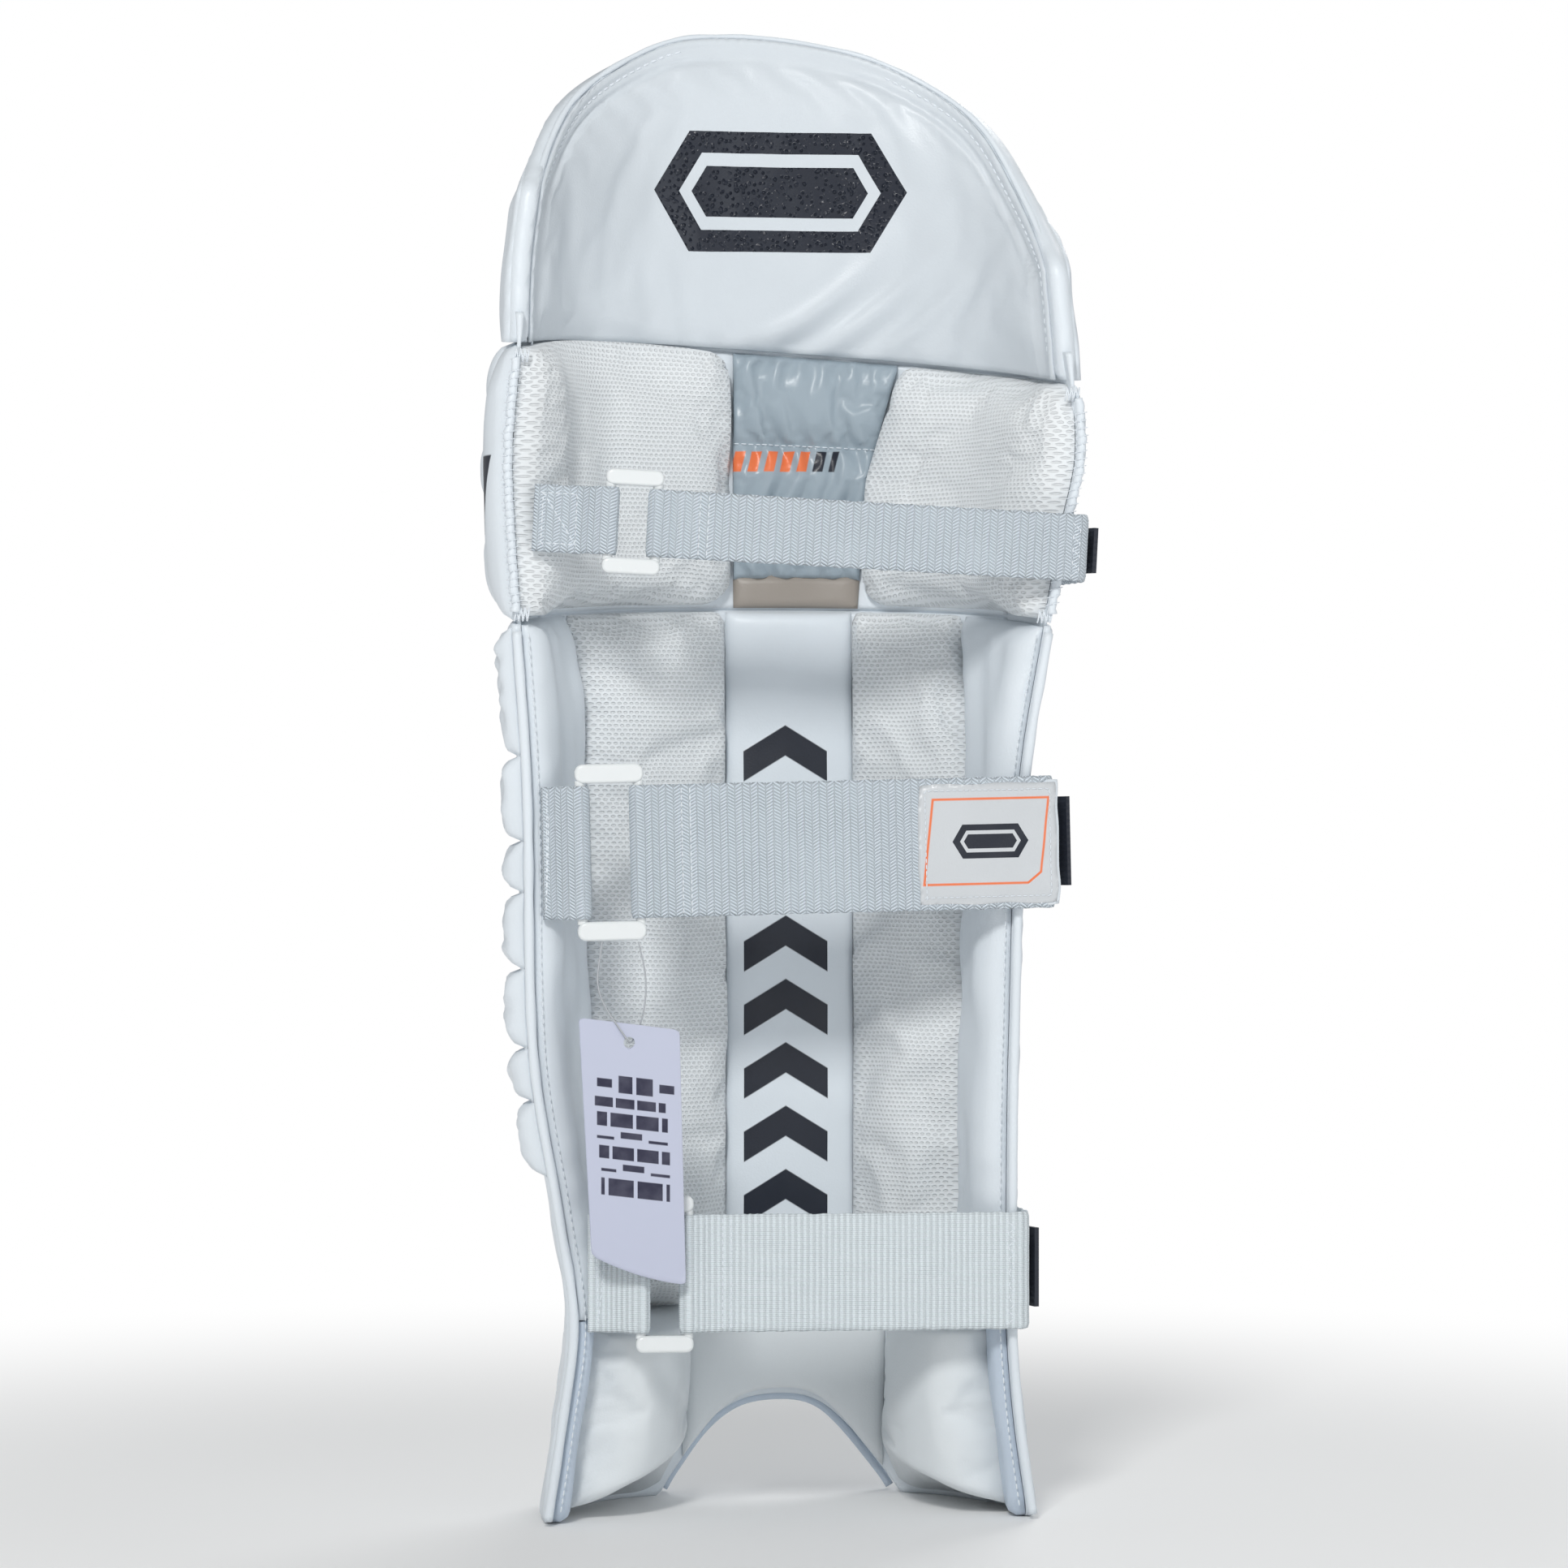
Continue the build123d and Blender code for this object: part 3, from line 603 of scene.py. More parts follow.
# ---- meshes ------------------------------------------------------------------------------
def new_piece(name, body, nodes, look, verts_mm, faces, uv=None):
    """A mesh that rides on a body; nodes names the CAD nodes it replaces, spaces between."""
    mesh = bpy.data.meshes.new(name)
    mesh.from_pydata(metres(verts_mm).tolist(), [], faces)
    mesh.update()
    obj = add_object(name, mesh)
    slot, material = looks[look]
    mesh.materials.append(material.material)
    mesh.polygons.foreach_set("use_smooth", np.ones(len(mesh.polygons), bool))
    if uv is not None:
        layer = mesh.uv_layers.new(name="cloth")
        index = np.zeros(len(mesh.loops), int)
        mesh.loops.foreach_get("vertex_index", index)
        layer.data.foreach_set("uv", (np.asarray(uv, float)[index] * MM).ravel())
    if body:
        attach(obj, body)
    if nodes:
        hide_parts(*nodes.split())
    return obj


def grid_faces(rows, columns, start=0, flip=False, wrap=False):
    """Faces of a grid of points; a wrapped grid's last column joins its first."""
    r, c = np.meshgrid(np.arange(rows - 1), np.arange(columns - (not wrap)), indexing="ij")
    a, b = start + r * columns + c, start + r * columns + (c + 1) % columns
    quads = np.stack([a, b, b + columns, a + columns], -1).reshape(-1, 4)
    return (quads[:, ::-1] if flip else quads).tolist()


def rim_faces(rows, columns, front, back, flip=False):
    """Faces that close the rims of two equal grids."""
    ring = list(range(columns)) + [r * columns + columns - 1 for r in range(1, rows)]
    ring += [(rows - 1) * columns + c for c in range(columns - 2, -1, -1)]
    ring += [r * columns for r in range(rows - 2, 0, -1)]
    quads = [[front + a, back + a, back + b, front + b] for a, b in zip(ring, ring[1:] + ring)]
    return [quad[::-1] for quad in quads] if flip else quads


def shell(name, body, nodes, look, front, back, uv=None, flip=False):
    """A closed piece between two equal grids of points."""
    rows, columns = front.shape[:2]
    count = rows * columns
    faces = grid_faces(rows, columns, 0, flip) + grid_faces(rows, columns, count, not flip)
    faces += rim_faces(rows, columns, 0, count, flip)
    verts = np.vstack([front.reshape(-1, 3), back.reshape(-1, 3)])
    if uv is not None:
        uv = np.vstack([uv.reshape(-1, 2)] * 2)
    return new_piece(name, body, nodes, look, verts, faces, uv)


class Pad:
    """A padded piece of the trough wall: a closed shell with a pillowed face.

    a0, a1 are its angles (numbers, or functions of height); z0, z1 its heights (numbers, or
    functions of angle), with corner radii bottom left and right, top left and right.  It starts
    at depth base and is edge + crown thick, towards the leg (side 1) or the strike side (side -1).
    detail(pad, across, along) adds millimetres."""

    def __init__(self, name, body, nodes, look, a0, a1, z0, z1, base, edge, crown, side=1,
                 round_u=14.0, round_v=14.0, step=2.4, fill=0.7, detail=None, hump=0.25,
                 corners=(0, 0, 0, 0)):
        middle = (call(z0, 0.0) + call(z1, 0.0)) / 2
        left, right = float(call(a0, middle)), float(call(a1, middle))
        halfway = np.array([(left + right) / 2])
        tall = float(np.max(call(z1, halfway) - call(z0, halfway)))
        wide = walked(spot(middle, np.linspace(left, right, 60), base)[0])[-1]
        columns, rows = int(wide / step) + 2, int(tall / step) + 2
        u, v = np.meshgrid(np.linspace(0, 1, columns), np.linspace(0, 1, rows))
        angle = left + (right - left) * u
        for _ in range(2):
            low, high = call(z0, angle), call(z1, angle)
            low = low + corner(u * wide, corners[0]) + corner((1 - u) * wide, corners[1])
            high = high - corner(u * wide, corners[2]) - corner((1 - u) * wide, corners[3])
            z = low + (high - low) * v
            first, last = call(a0, z), call(a1, z)
            angle = first + (last - first) * u
        steps = np.linalg.norm(np.diff(spot(z, angle, base)[0], axis=1), axis=2)
        across = np.concatenate([np.zeros((rows, 1)), np.cumsum(steps, axis=1)], axis=1)
        width = across[:, -1:]
        self.from_side = np.minimum(across, width - across)
        self.from_end = np.minimum(v, 1 - v) * (high - low)
        self.u, self.v, self.z, self.angle = u, v, z, angle
        swell = rounded(self.from_side, round_u) * rounded(self.from_end, round_v)
        swell = swell * (1 - hump * np.abs(2 * u - 1) ** 2.2)
        thick = edge + crown * swell
        if detail is not None:
            thick = thick + detail(self, across, z)
        uv = np.stack([across - width / 2, z], -1)
        self.close(name, body, nodes, look, np.maximum(thick, 0.4), base, side, uv, fill)

    def close(self, name, body, nodes, look, thick, base, side, uv, fill):
        """Make the closed mesh from the grid of angles and heights and the thickness there."""
        self.points, normals = spot(self.z, self.angle, base + side * thick)
        self.normals = -normals * side
        back = spot(self.z, self.angle, base)[0]
        self.obj = shell(name, body, nodes, look, self.points, back, uv, side < 0)

    def at(self, u, v, lift=0.0):
        """Points on the face at fractions u across and v up it, lifted off it."""
        rows, columns = self.u.shape
        x = np.clip(np.asarray(u, float), 0, 1) * (columns - 1)
        y = np.clip(np.asarray(v, float), 0, 1) * (rows - 1)
        i, j = np.minimum(x.astype(int), columns - 2), np.minimum(y.astype(int), rows - 2)
        fx, fy = (x - i)[..., None], (y - j)[..., None]
        def mix(g):
            return ((g[j, i] * (1 - fx) + g[j, i + 1] * fx) * (1 - fy)
                    + (g[j + 1, i] * (1 - fx) + g[j + 1, i + 1] * fx) * fy)
        return mix(self.points) + mix(self.normals) * np.asarray(lift)[..., None]


def vertex_places(mesh):
    return np.array([v.co[:] for v in mesh.vertices])


def set_places(mesh, places):
    mesh.vertices.foreach_set("co", places.ravel())
    mesh.update()


FOOT_DROP, FOOT_REACH = 14.0, 20.0   # how far the ankle bolsters' faces hang at the ground
GROUND_GAP = 0.5


def fill_corner(pad, lean, bulge, round_v):
    """Lets a pad fill a corner of the trough like a bolster: its face spans from side to side,
    and bulges along the direction lean."""
    u = pad.u[..., None]
    chord = pad.points[:, :1] * (1 - u) + pad.points[:, -1:] * u
    full = chord + np.array([*lean, 0.0]) * bulge * (1 - np.abs(2 * u - 1) ** 2.4)
    full[..., 2] -= FOOT_DROP * np.exp(-full[..., 2] / FOOT_REACH)
    share = rounded(pad.from_end, round_v)[..., None]
    pad.points = pad.points * (1 - share) + full * share
    pad.points[..., 2] = np.maximum(pad.points[..., 2], GROUND_GAP)
    places = vertex_places(pad.obj.data)
    places[:pad.u.size] = metres(pad.points.reshape(-1, 3))
    set_places(pad.obj.data, places)


HELD_RIM = 1.5             # how far in from its edge a cover is sewn down
CLOTH_FRAMES = 16
CLOTH_SETTINGS = {
    "quality": 5, "mass": 0.15, "tension_stiffness": 12, "compression_stiffness": 12,
    "shear_stiffness": 6, "bending_stiffness": 0.35, "vertex_group_mass": "held",
    "use_pressure": True,
}


def settle(pad, pressure=2.5, grow=0.035, cap=4.0, still=False):
    """Cloth simulation of a pad's cover: held round its edge, blown out by its filling.

    The cover is grow larger than its shape, so it puckers at its seams; no point moves more
    than cap millimetres.  still marks grid points that are sewn down."""
    obj, scene = pad.obj, bpy.context.scene
    near = (np.minimum(pad.from_side, pad.from_end) < HELD_RIM) | still
    count = near.size
    group = obj.vertex_groups.new(name="held")
    fixed = [int(i) for i in np.flatnonzero(near.ravel())] + list(range(count, 2 * count))
    group.add(fixed, 1.0, "REPLACE")
    cloth = obj.modifiers.new("cloth", "CLOTH")
    for key, value in CLOTH_SETTINGS.items():
        setattr(cloth.settings, key, value)
    cloth.settings.uniform_pressure_force = pressure
    cloth.settings.shrink_min = -grow
    cloth.settings.effector_weights.gravity = 0
    cloth.collision_settings.use_collision = False
    cloth.point_cache.frame_end = CLOTH_FRAMES
    before = vertex_places(obj.data)
    for frame_now in range(1, CLOTH_FRAMES + 1):
        scene.frame_set(frame_now)
    result = obj.evaluated_get(bpy.context.evaluated_depsgraph_get())
    move = (vertex_places(result.data) - before) / MM
    length = np.linalg.norm(move, axis=1, keepdims=True)
    move *= np.where(length > 0, cap * np.tanh(length / cap) / np.maximum(length, 1e-6), 0)
    obj.modifiers.remove(cloth)
    obj.vertex_groups.remove(group)
    scene.frame_set(1)
    places = before + move * MM
    places[:, 2] = np.maximum(places[:, 2], np.minimum(before[:, 2], GROUND_GAP * MM))
    set_places(obj.data, places)
    pad.points = pad.points + move[:count].reshape(pad.points.shape)


def tube(name, body, nodes, look, points, radius, sides=12):
    """A round tube along points; radius is a number or one for each point."""
    p = np.asarray(points, float)
    t = unit(np.gradient(p, axis=0))
    n = unit(np.cross(t, [0.0, 1.0, 0.0] if abs(t[0][1]) < 0.8 else [1.0, 0.0, 0.0]))
    b = np.cross(t, n)
    turn = np.linspace(0, 2 * pi, sides, endpoint=False)
    r = np.broadcast_to(np.asarray(radius, float), (len(p),))[:, None, None]
    ring = n[:, None] * np.cos(turn)[None, :, None] + b[:, None] * np.sin(turn)[None, :, None]
    last = (len(p) - 1) * sides
    faces = grid_faces(len(p), sides, wrap=True)
    faces += [list(range(sides))[::-1], [last + k for k in range(sides)]]
    uv = np.stack([np.repeat(walked(p), sides), np.tile(turn * 2, len(p))], -1)
    new_piece(name, body, nodes, look, (p[:, None] + ring * r).reshape(-1, 3), faces, uv)


def stitches(name, body, rows, pitch, stitch, radius, nodes=""):
    """Rows of sewn thread: short rounded stitches along each row of points."""
    turn = np.arange(6) * pi / 3
    one = grid_faces(4, 6, wrap=True) + [[5, 4, 3, 2, 1, 0], [18, 19, 20, 21, 22, 23]]
    verts, faces = [], []
    for row in rows:
        p = resample(row, pitch)
        for at, along in zip(p, unit(np.gradient(p, axis=0))):
            side = np.cross(along, [0.0, 1.0, 0.0])
            side /= np.linalg.norm(side) + 1e-9
            up = np.cross(side, along)
            round_it = side * np.cos(turn)[:, None] + up * np.sin(turn)[:, None]
            faces += [[len(verts) * 6 + k for k in face] for face in one]
            for place, size in ((-0.5, 0.35), (-0.3, 1.0), (0.3, 1.0), (0.5, 0.35)):
                verts.append(at + along * stitch * place + round_it * radius * size)
    new_piece(name, body, nodes, "thread", np.vstack(verts), faces)


# ---- seams between the sections ----------------------------------------------------------
def seam_shin(angle, depth=10.0):
    """Height of the seam between shin and knee at an angle round the trough."""
    return KNEE_SEAM_Z + 0.10 * (spot(430.0, angle, depth)[0][..., 1] + 64.0)


def seam_hat(angle, depth=10.0):
    """Height of the seam between knee and top hat at an angle round the trough."""
    p = spot(550.0, angle, depth)[0]
    return HAT_SEAM_Z + HAT_SEAM_SLOPE * p[..., 0] + 0.135 * (p[..., 1] + 64.0)


def shin_seam(up, depth=10.0):
    return lambda angle: seam_shin(angle, depth) + up


def hat_seam(up, depth=10.0):
    return lambda angle: seam_hat(angle, depth) + up


def arch(share=1.0, floor=2.0, up=0.6):
    return lambda angle: arch_height(angle, share, floor) + up


def angle_at_girth(girth):
    """A function that gives, at any heights, the angle this far round the outside."""
    zs = np.linspace(0, 716, 60)
    angles = np.linspace(0, 90 if girth > 0 else -90, 181)
    found = [np.interp(abs(girth), walked(spot(z, angles)[0]), angles) for z in zs]
    return lambda z: np.interp(z, zs, found)


def pucker(pitch, deep, reach, seed, ends=False):
    """Gathers that run in from a piece's seams and fade out with distance."""
    def detail(pad, across, along):
        fade = np.exp(-pad.from_side / reach)
        out = -deep * fade * gathers(along + 7 * (pad.u > 0.5), pitch, seed)
        if ends:
            fade = np.exp(-pad.from_end / reach)
            out = out - deep * fade * gathers(across + 5 * (pad.v > 0.5), pitch, seed + 1)
        return out + 0.5 * waves(across, along, 45, seed + 2)
    return detail


# ---- inside of the shin ------------------------------------------------------------------
def shin_inside():
    left_line = angle_at_x(table((90, -97), (385, -101), (405, -104), (429, -109)))
    right_line = angle_at_x(table((90, 92), (300, 90), (429, 86)))
    edges = {-1: lambda z: np.maximum(left_line(z), -59.3),
             1: lambda z: np.minimum(right_line(z), 59.3)}
    left_seam, right_seam = angle_at_x(-28.0), angle_at_x(34.0)
    Pad("shin_backing", "shin", "shin_core", "foam", -60.2, 60.2, arch(floor=0.2, up=0.0),
        shin_seam(-0.6), 0.1, 7.4, 0.4, fill=0.9)

    def left_gathers(pad, across, along):
        folds = np.exp(-across / 9.0) * gathers(along + 0.4 * across, 9, 31)
        return pucker(22, 0.8, 10, 11)(pad, across, along) - 1.5 * folds

    bolsters = [
        Pad("left_shin_bolster", "shin", "left_side_bolster", "mesh", edges[-1],
            lambda z: left_seam(z) - 0.25, 95.0, shin_seam(-1.2), INNER, 0.8, 18.4, round_u=36,
            round_v=18, detail=left_gathers, hump=0.18, fill=0.75, corners=(3, 3, 4, 5)),
        Pad("right_shin_bolster", "shin", "right_side_bolster", "mesh",
            lambda z: right_seam(z) + 0.25, edges[1], 95.0, shin_seam(-1.2), INNER, 0.8, 18.4,
            round_u=32, round_v=18, detail=pucker(26, 0.6, 9, 12), hump=0.18, fill=0.75,
            corners=(3, 3, 5, 4))]
    Pad("shin_centre_strip", "shin", "centre_strip", "strip", left_seam, right_seam, 95.0,
        shin_seam(-1.2), INNER, 0.8, 4.8, round_u=16, round_v=6, detail=pucker(30, 0.35, 8, 13),
        fill=0.8)

    def lining(pad, across, along):
        pull = pucker(17, 1.3, 9, 14, ends=True)(pad, across, along)
        return pull + 0.8 * waves(across * 1.6, along, 60, 15)

    for name, side in SIDES:
        def inner(z):
            return edges[side](z) + side * 0.35
        Pad(f"{name}_shin_lining", "shin", f"{name}_wing_lining", "pu",
            *((-89.3, inner) if side < 0 else (inner, 89.3)), 97.6, shin_seam(-1.4), BASE, 4.2,
            10.4, round_u=16, round_v=12, detail=lining, fill=0.55)
        # the foot strips' grey-blue is painted shade
        Pad(f"{name}_foot_strip", "shin", "", "grey", *sorted((side * 79.0, side * 89.3)), 0.4,
            96.8, BASE, 3.6, 4.0, round_u=6, round_v=6, detail=pucker(12, 0.5, 5, 16), fill=0.6,
            corners=(9, 0, 0, 0) if side < 0 else (0, 9, 0, 0))

    left_panel, right_panel = angle_at_x(-49.0), angle_at_x(50.0)
    ankles = []
    for (name, side), ends, corners in zip(
            SIDES, ((-79.5, lambda z: left_panel(z) - 0.3), (lambda z: right_panel(z) + 0.3, 79.5)),
            ((8, 24, 2, 2), (20, 8, 2, 2))):
        ankles.append(Pad(
            f"{name}_ankle_bolster_cover", "shin", f"{name}_ankle_bolster", "warm", *ends,
            arch(), 94.6, 6.2, 1.6, 2.0, round_u=8, round_v=8, hump=0.0, fill=0.75,
            corners=corners))
        fill_corner(ankles[-1], (-0.45 * side, -0.89), 33.0, 6)
    Pad("instep_panel_cover", "shin", "instep_panel", "warm", left_panel, right_panel, arch(),
        94.6, INNER, 1.2, 6.2, round_u=18, round_v=14, detail=pucker(30, 0.5, 9, 19, ends=True),
        fill=0.7)
    for pad in ankles + bolsters:
        settle(pad)


# ---- inside of the knee ------------------------------------------------------------------
QUILT_ROWS = (0.0, 0.33, 0.60, 1.0)       # as shares of the panel's height
QUILT_TALL = 100.0


def from_quilting(v):
    """How far up or down the nearest quilting row is, as a share of the panel's height."""
    return np.min([np.abs(v - row) for row in QUILT_ROWS], axis=0)


def knee_inside():
    Pad("knee_backing", "knee", "knee_core", "foam", -60.2, 60.2, shin_seam(0.6),
        hat_seam(-0.6), 0.1, 7.4, 0.4, fill=0.9)
    left_seam = angle_at_x(-24.0)
    right_seam = angle_at_x(table((432, 37), (497, 42), (552, 57)))

    def bolster(name, seed, ends, corners):
        def detail(pad, across, along):
            edge = np.exp(-pad.from_side / 5.0) * ((1 - pad.u) if name == "left" else pad.u)
            return (pucker(26, 0.7, 12, seed)(pad, across, along)
                    - 2.2 * edge * gathers(along, 8, seed + 5))
        return Pad(f"{name}_knee_bolster_cover", "knee",
                   f"{name}_knee_bolster {name}_knee_side_bolster", "mesh", *ends,
                   shin_seam(2.0), hat_seam(-1.0), BASE, 1.2, 24.5, round_u=30, round_v=27,
                   detail=detail, hump=0.10, fill=0.85, corners=corners)

    bolsters = [bolster("left", 21, (-89.2, lambda z: left_seam(z) - 0.3), (9, 16, 9, 13)),
                bolster("right", 22, (lambda z: right_seam(z) + 0.3, 89.2), (16, 9, 9, 16))]

    def quilt(pad, across, along):
        nearest = from_quilting(pad.v) * QUILT_TALL
        folds = ripple(across + 5 * np.sin(pad.v * 9), 15, 23) * np.exp(-nearest / 14.0)
        fine = ripple(across, 7, 27) * np.exp(-nearest / 5.0)
        return (4.2 * rounded(nearest, 15) - 1.8
                + (2.6 * folds + 0.8 * fine) * (0.3 + 0.7 * rounded(nearest, 4)))

    panel = Pad("knee_quilted_panel", "knee", "knee_centre_panel", "satin", left_seam,
                right_seam, shin_seam(14.5), hat_seam(-1.0), INNER, 2.6, 2.2, round_u=8,
                round_v=4, detail=quilt, fill=0.6, step=1.6)
    # the strip end's colour is darkened with painted shade, the shadow that falls on it under the
    # knee
    Pad("knee_strip_end", "knee", "", "peach_painted_shade", left_seam, right_seam, shin_seam(0.6),
        shin_seam(17.0), INNER, 1.0, 2.6, round_u=8, round_v=4, detail=pucker(30, 0.4, 8, 24),
        fill=0.8)
    for pad in bolsters:
        settle(pad)
    settle(panel, pressure=2.0, grow=0.06, still=from_quilting(panel.v) < 0.016)
    u = np.linspace(0.02, 0.98, 90)
    rows = [panel.at(u, np.full(90, row), 0.25) for row in QUILT_ROWS[1:-1]]
    stitches("quilt_stitching", "knee", rows, 3.6, 2.7, 0.3)


# ---- the strike side ---------------------------------------------------------------------
ROLL_PITCH, ROLL_GAP = 29.0, 0.3
RIB_EDGES = (165, 200, 225, 262, 298, 322, 362, 422)
KNEE_ROLL_EDGES = (0.005, 0.355, 0.685, 0.99)    # shares of the way up the knee section


def shin_outside():
    for i in range(7):
        def wrinkles(pad, across, along):
            near = np.exp(-pad.from_side / 5.0)
            return (-0.8 * near * gathers(along, 11, 40 + i)
                    + 0.5 * waves(across, along * 0.5, 30, 40 + i))
        Pad(f"shin_roll_cover_{i + 1}", "shin",
            f"shin_roll_{i + 1}" + (" cane_rods" if i == 3 else ""), "pu",
            angle_at_girth((i - 3.5) * ROLL_PITCH + ROLL_GAP),
            angle_at_girth((i - 2.5) * ROLL_PITCH - ROLL_GAP), 98.8, shin_seam(-1.0, -14.0),
            -0.2, 0.6, 24.0, side=-1, round_u=14.2, round_v=12, detail=wrinkles, hump=0.0,
            fill=0.9, step=2.2)

    def instep(pad, across, along):
        seam = np.exp(-np.abs(pad.from_end - 9) / 2.0) * (pad.v > 0.5)
        return pucker(20, 1.0, 9, 48, ends=True)(pad, across, along) - 1.6 * seam
    Pad("instep_front_cover", "shin", "instep_cover", "pu", -60, 60, arch(FRONT_ARCH, 0.4, 0.3),
        98.2, -0.2, 5.0, 9.6, side=-1, round_u=16, round_v=18, detail=instep, fill=0.8)

    for name, side in SIDES:
        ends = sorted((side * 60.5, side * 90.0))
        creased = pucker(16, 0.9, 8, 50 + side)
        Pad(f"{name}_wing_cover", "shin", f"{name}_wing", "pu", *ends, 0.3,
            shin_seam(-0.8, 6.0), 5.2, 3.6, 2.4, side=-1, round_u=7, round_v=7, detail=creased,
            corners=(9, 0, 0, 0) if side < 0 else (0, 9, 0, 0))
        Pad(f"knee_{name}_wing_cover", "knee", f"knee_{name}_wing", "knee_print", *ends,
            shin_seam(0.8, 6.0), hat_seam(-0.8, 6.0), 5.2, 3.2, 10.5 if side < 0 else 3.0,
            side=-1, round_u=17, round_v=24, detail=creased, corners=(4, 4, 4, 4))

    for i, (low, high) in enumerate(zip(RIB_EDGES, RIB_EDGES[1:])):
        def crumpled(pad, across, along):
            folds = waves(across * 1.5, along * 2.2, 26, 60 + i) * rounded(pad.from_side, 8)
            return folds - 0.9 * np.exp(-pad.from_end / 5) * gathers(across, 7, 60 + i)
        Pad(f"wing_rib_{i + 1}", "shin", "left_wing_ribs" if i == 0 else "", "pu", -89.6, -59.5,
            low + 0.3, high - 0.3, 1.0, 1.2, 8.6 if high < 400 else 6.5, side=-1, round_u=9,
            round_v=min(12, (high - low) / 2), detail=crumpled, hump=0.1, fill=0.8, step=2.0)


def knee_outside():
    def share(k):
        return lambda a: seam_shin(a, -14.0) * (1 - k) + seam_hat(a, -14.0) * k

    for i, (low, high) in enumerate(zip(KNEE_ROLL_EDGES, KNEE_ROLL_EDGES[1:])):
        def shape(pad, across, along):
            thin = np.clip((np.abs(pad.angle) - 42) / 38, 0, 1)
            swell = rounded(pad.from_side, 16) * rounded(pad.from_end, 20)
            pull = -1.2 * np.exp(-pad.from_end / 6) * gathers(across, 15, 70 + i)
            return -18.5 * thin * swell + pull
        Pad(f"knee_roll_cover_{i + 1}", "knee", f"knee_roll_{i + 1}", "pu", -70, 54,
            share(low + 0.004), share(high - 0.004), -0.6, 1.0, 26.0, side=-1, round_u=16,
            round_v=20, detail=shape, hump=0.0, fill=0.9, step=2.6, corners=(10, 10, 10, 10))


# ---- the top hat -------------------------------------------------------------------------
class Dome(Pad):
    """A padded piece inside the top hat's outline, on a grid that follows the outline.

    profile(d, b, x, z) gives its thickness from the distances to the outline, d, and to the
    seam, b."""

    ANGLES = np.linspace(-90, 90, 361)
    GIRTH = walked(spot(630.0, ANGLES, 5.0)[0])

    def __init__(self, name, nodes, look, base, profile, side=1, inset=1.5, step=2.8,
                 reach=84.0, fill=0.6):
        self.reach = reach
        outline = self.outline(inset)
        bottom = np.linspace(outline[0][0], outline[-1][0], 120)
        bottom = np.stack([bottom, seam_hat(self.angle_of(bottom)) + 1.0], -1)
        cuts = [int(np.argmin(np.hypot(*(outline - self.flat(xz)).T)))
                for xz in ((-104, 682), (90, 676))]
        left, top = outline[:cuts[0] + 1], outline[cuts[0]:cuts[1] + 1]
        right = outline[cuts[1]:][::-1]
        wide = walked(bottom)[-1]
        self.u, self.v = np.meshgrid(np.linspace(0, 1, int(wide / step)),
                                     np.linspace(0, 1, int(175 / step)))
        b, t = self.along(bottom, self.u), self.along(top, self.u)
        l, r = self.along(left, self.v), self.along(right, self.v)
        u, v = self.u[..., None], self.v[..., None]
        p = ((1 - v) * b + v * t + (1 - u) * l + u * r
             - (1 - u) * (1 - v) * bottom[0] - u * (1 - v) * bottom[-1]
             - (1 - u) * v * top[0] - u * v * top[-1])
        self.angle, self.z = self.angle_of(p[..., 0]), p[..., 1]
        d = self.distance(p, np.vstack([left, top[1:], right[::-1][1:]]))
        low = self.distance(p, bottom)
        self.from_side, self.from_end = d - FLANGE, low
        x = spot(self.z, self.angle, base)[0][..., 0]
        thick = np.maximum(profile(d, low, x, self.z), 0.3)
        uv = np.stack([p[..., 0] - 200, p[..., 1]], -1)
        self.close(name, "top_hat", nodes, look, thick, base, side, uv, fill)

    @classmethod
    def angle_of(cls, girth):
        return np.interp(girth, cls.GIRTH, cls.ANGLES)

    @classmethod
    def flat(cls, xz):
        """A place seen from the back, as girth and height."""
        x, z = np.asarray(xz, float)
        return np.array([np.interp(float(angle_at_x(x, 4.0)(z)), cls.ANGLES, cls.GIRTH), z])

    def outline(self, inset):
        x, z = HAT_LINE[:, 0], HAT_LINE[:, 1]
        angle = eased(angle_at_x(lambda h: x, 4.0)(z), self.reach)
        p = np.stack([np.interp(angle, self.ANGLES, self.GIRTH), z], -1)
        first, last = [np.array([[p[i, 0], float(seam_hat(angle[i])) + 1.0]]) for i in (0, -1)]
        p = soften(np.vstack([first, p[p[:, 1] > 562], last]), 9)
        t = unit(np.gradient(p, axis=0))
        normal = np.stack([t[:, 1], -t[:, 0]], -1)
        normal[0] = normal[-1] = (0, 0)
        p = p + normal * inset
        p[0, 0], p[-1, 0] = p[1, 0], p[-2, 0]
        return p

    @staticmethod
    def along(line, k):
        length = walked(line)
        s = k * length[-1]
        return np.stack([np.interp(s, length, line[:, i]) for i in (0, 1)], -1)

    @staticmethod
    def distance(p, line):
        best = np.full(p.shape[:2], 1e9)
        for q in resample(line, 3.0):
            best = np.minimum(best, np.hypot(p[..., 0] - q[0], p[..., 1] - q[1]))
        return best


FLANGE = 10.5              # width of the top hat's stitched rim
HAT_FOLDS = [              # each a place, a direction, a length, a width and a height
    (14, 580, 33, 40, 5, 2.0), (26, 574, 31, 38, 5, -2.6), (40, 577, 34, 42, 5, 2.4),
    (54, 572, 32, 34, 5, -2.4), (68, 574, 36, 32, 5, 1.8), (88, 584, 58, 26, 6, -1.4),
    (-8, 570, 20, 30, 6, 1.2), (-88, 590, 70, 30, 8, -0.8), (4, 562, 12, 26, 4, -1.2),
    (-60, 566, -15, 26, 5, 0.8), (-30, 600, -35, 34, 12, -0.6)]


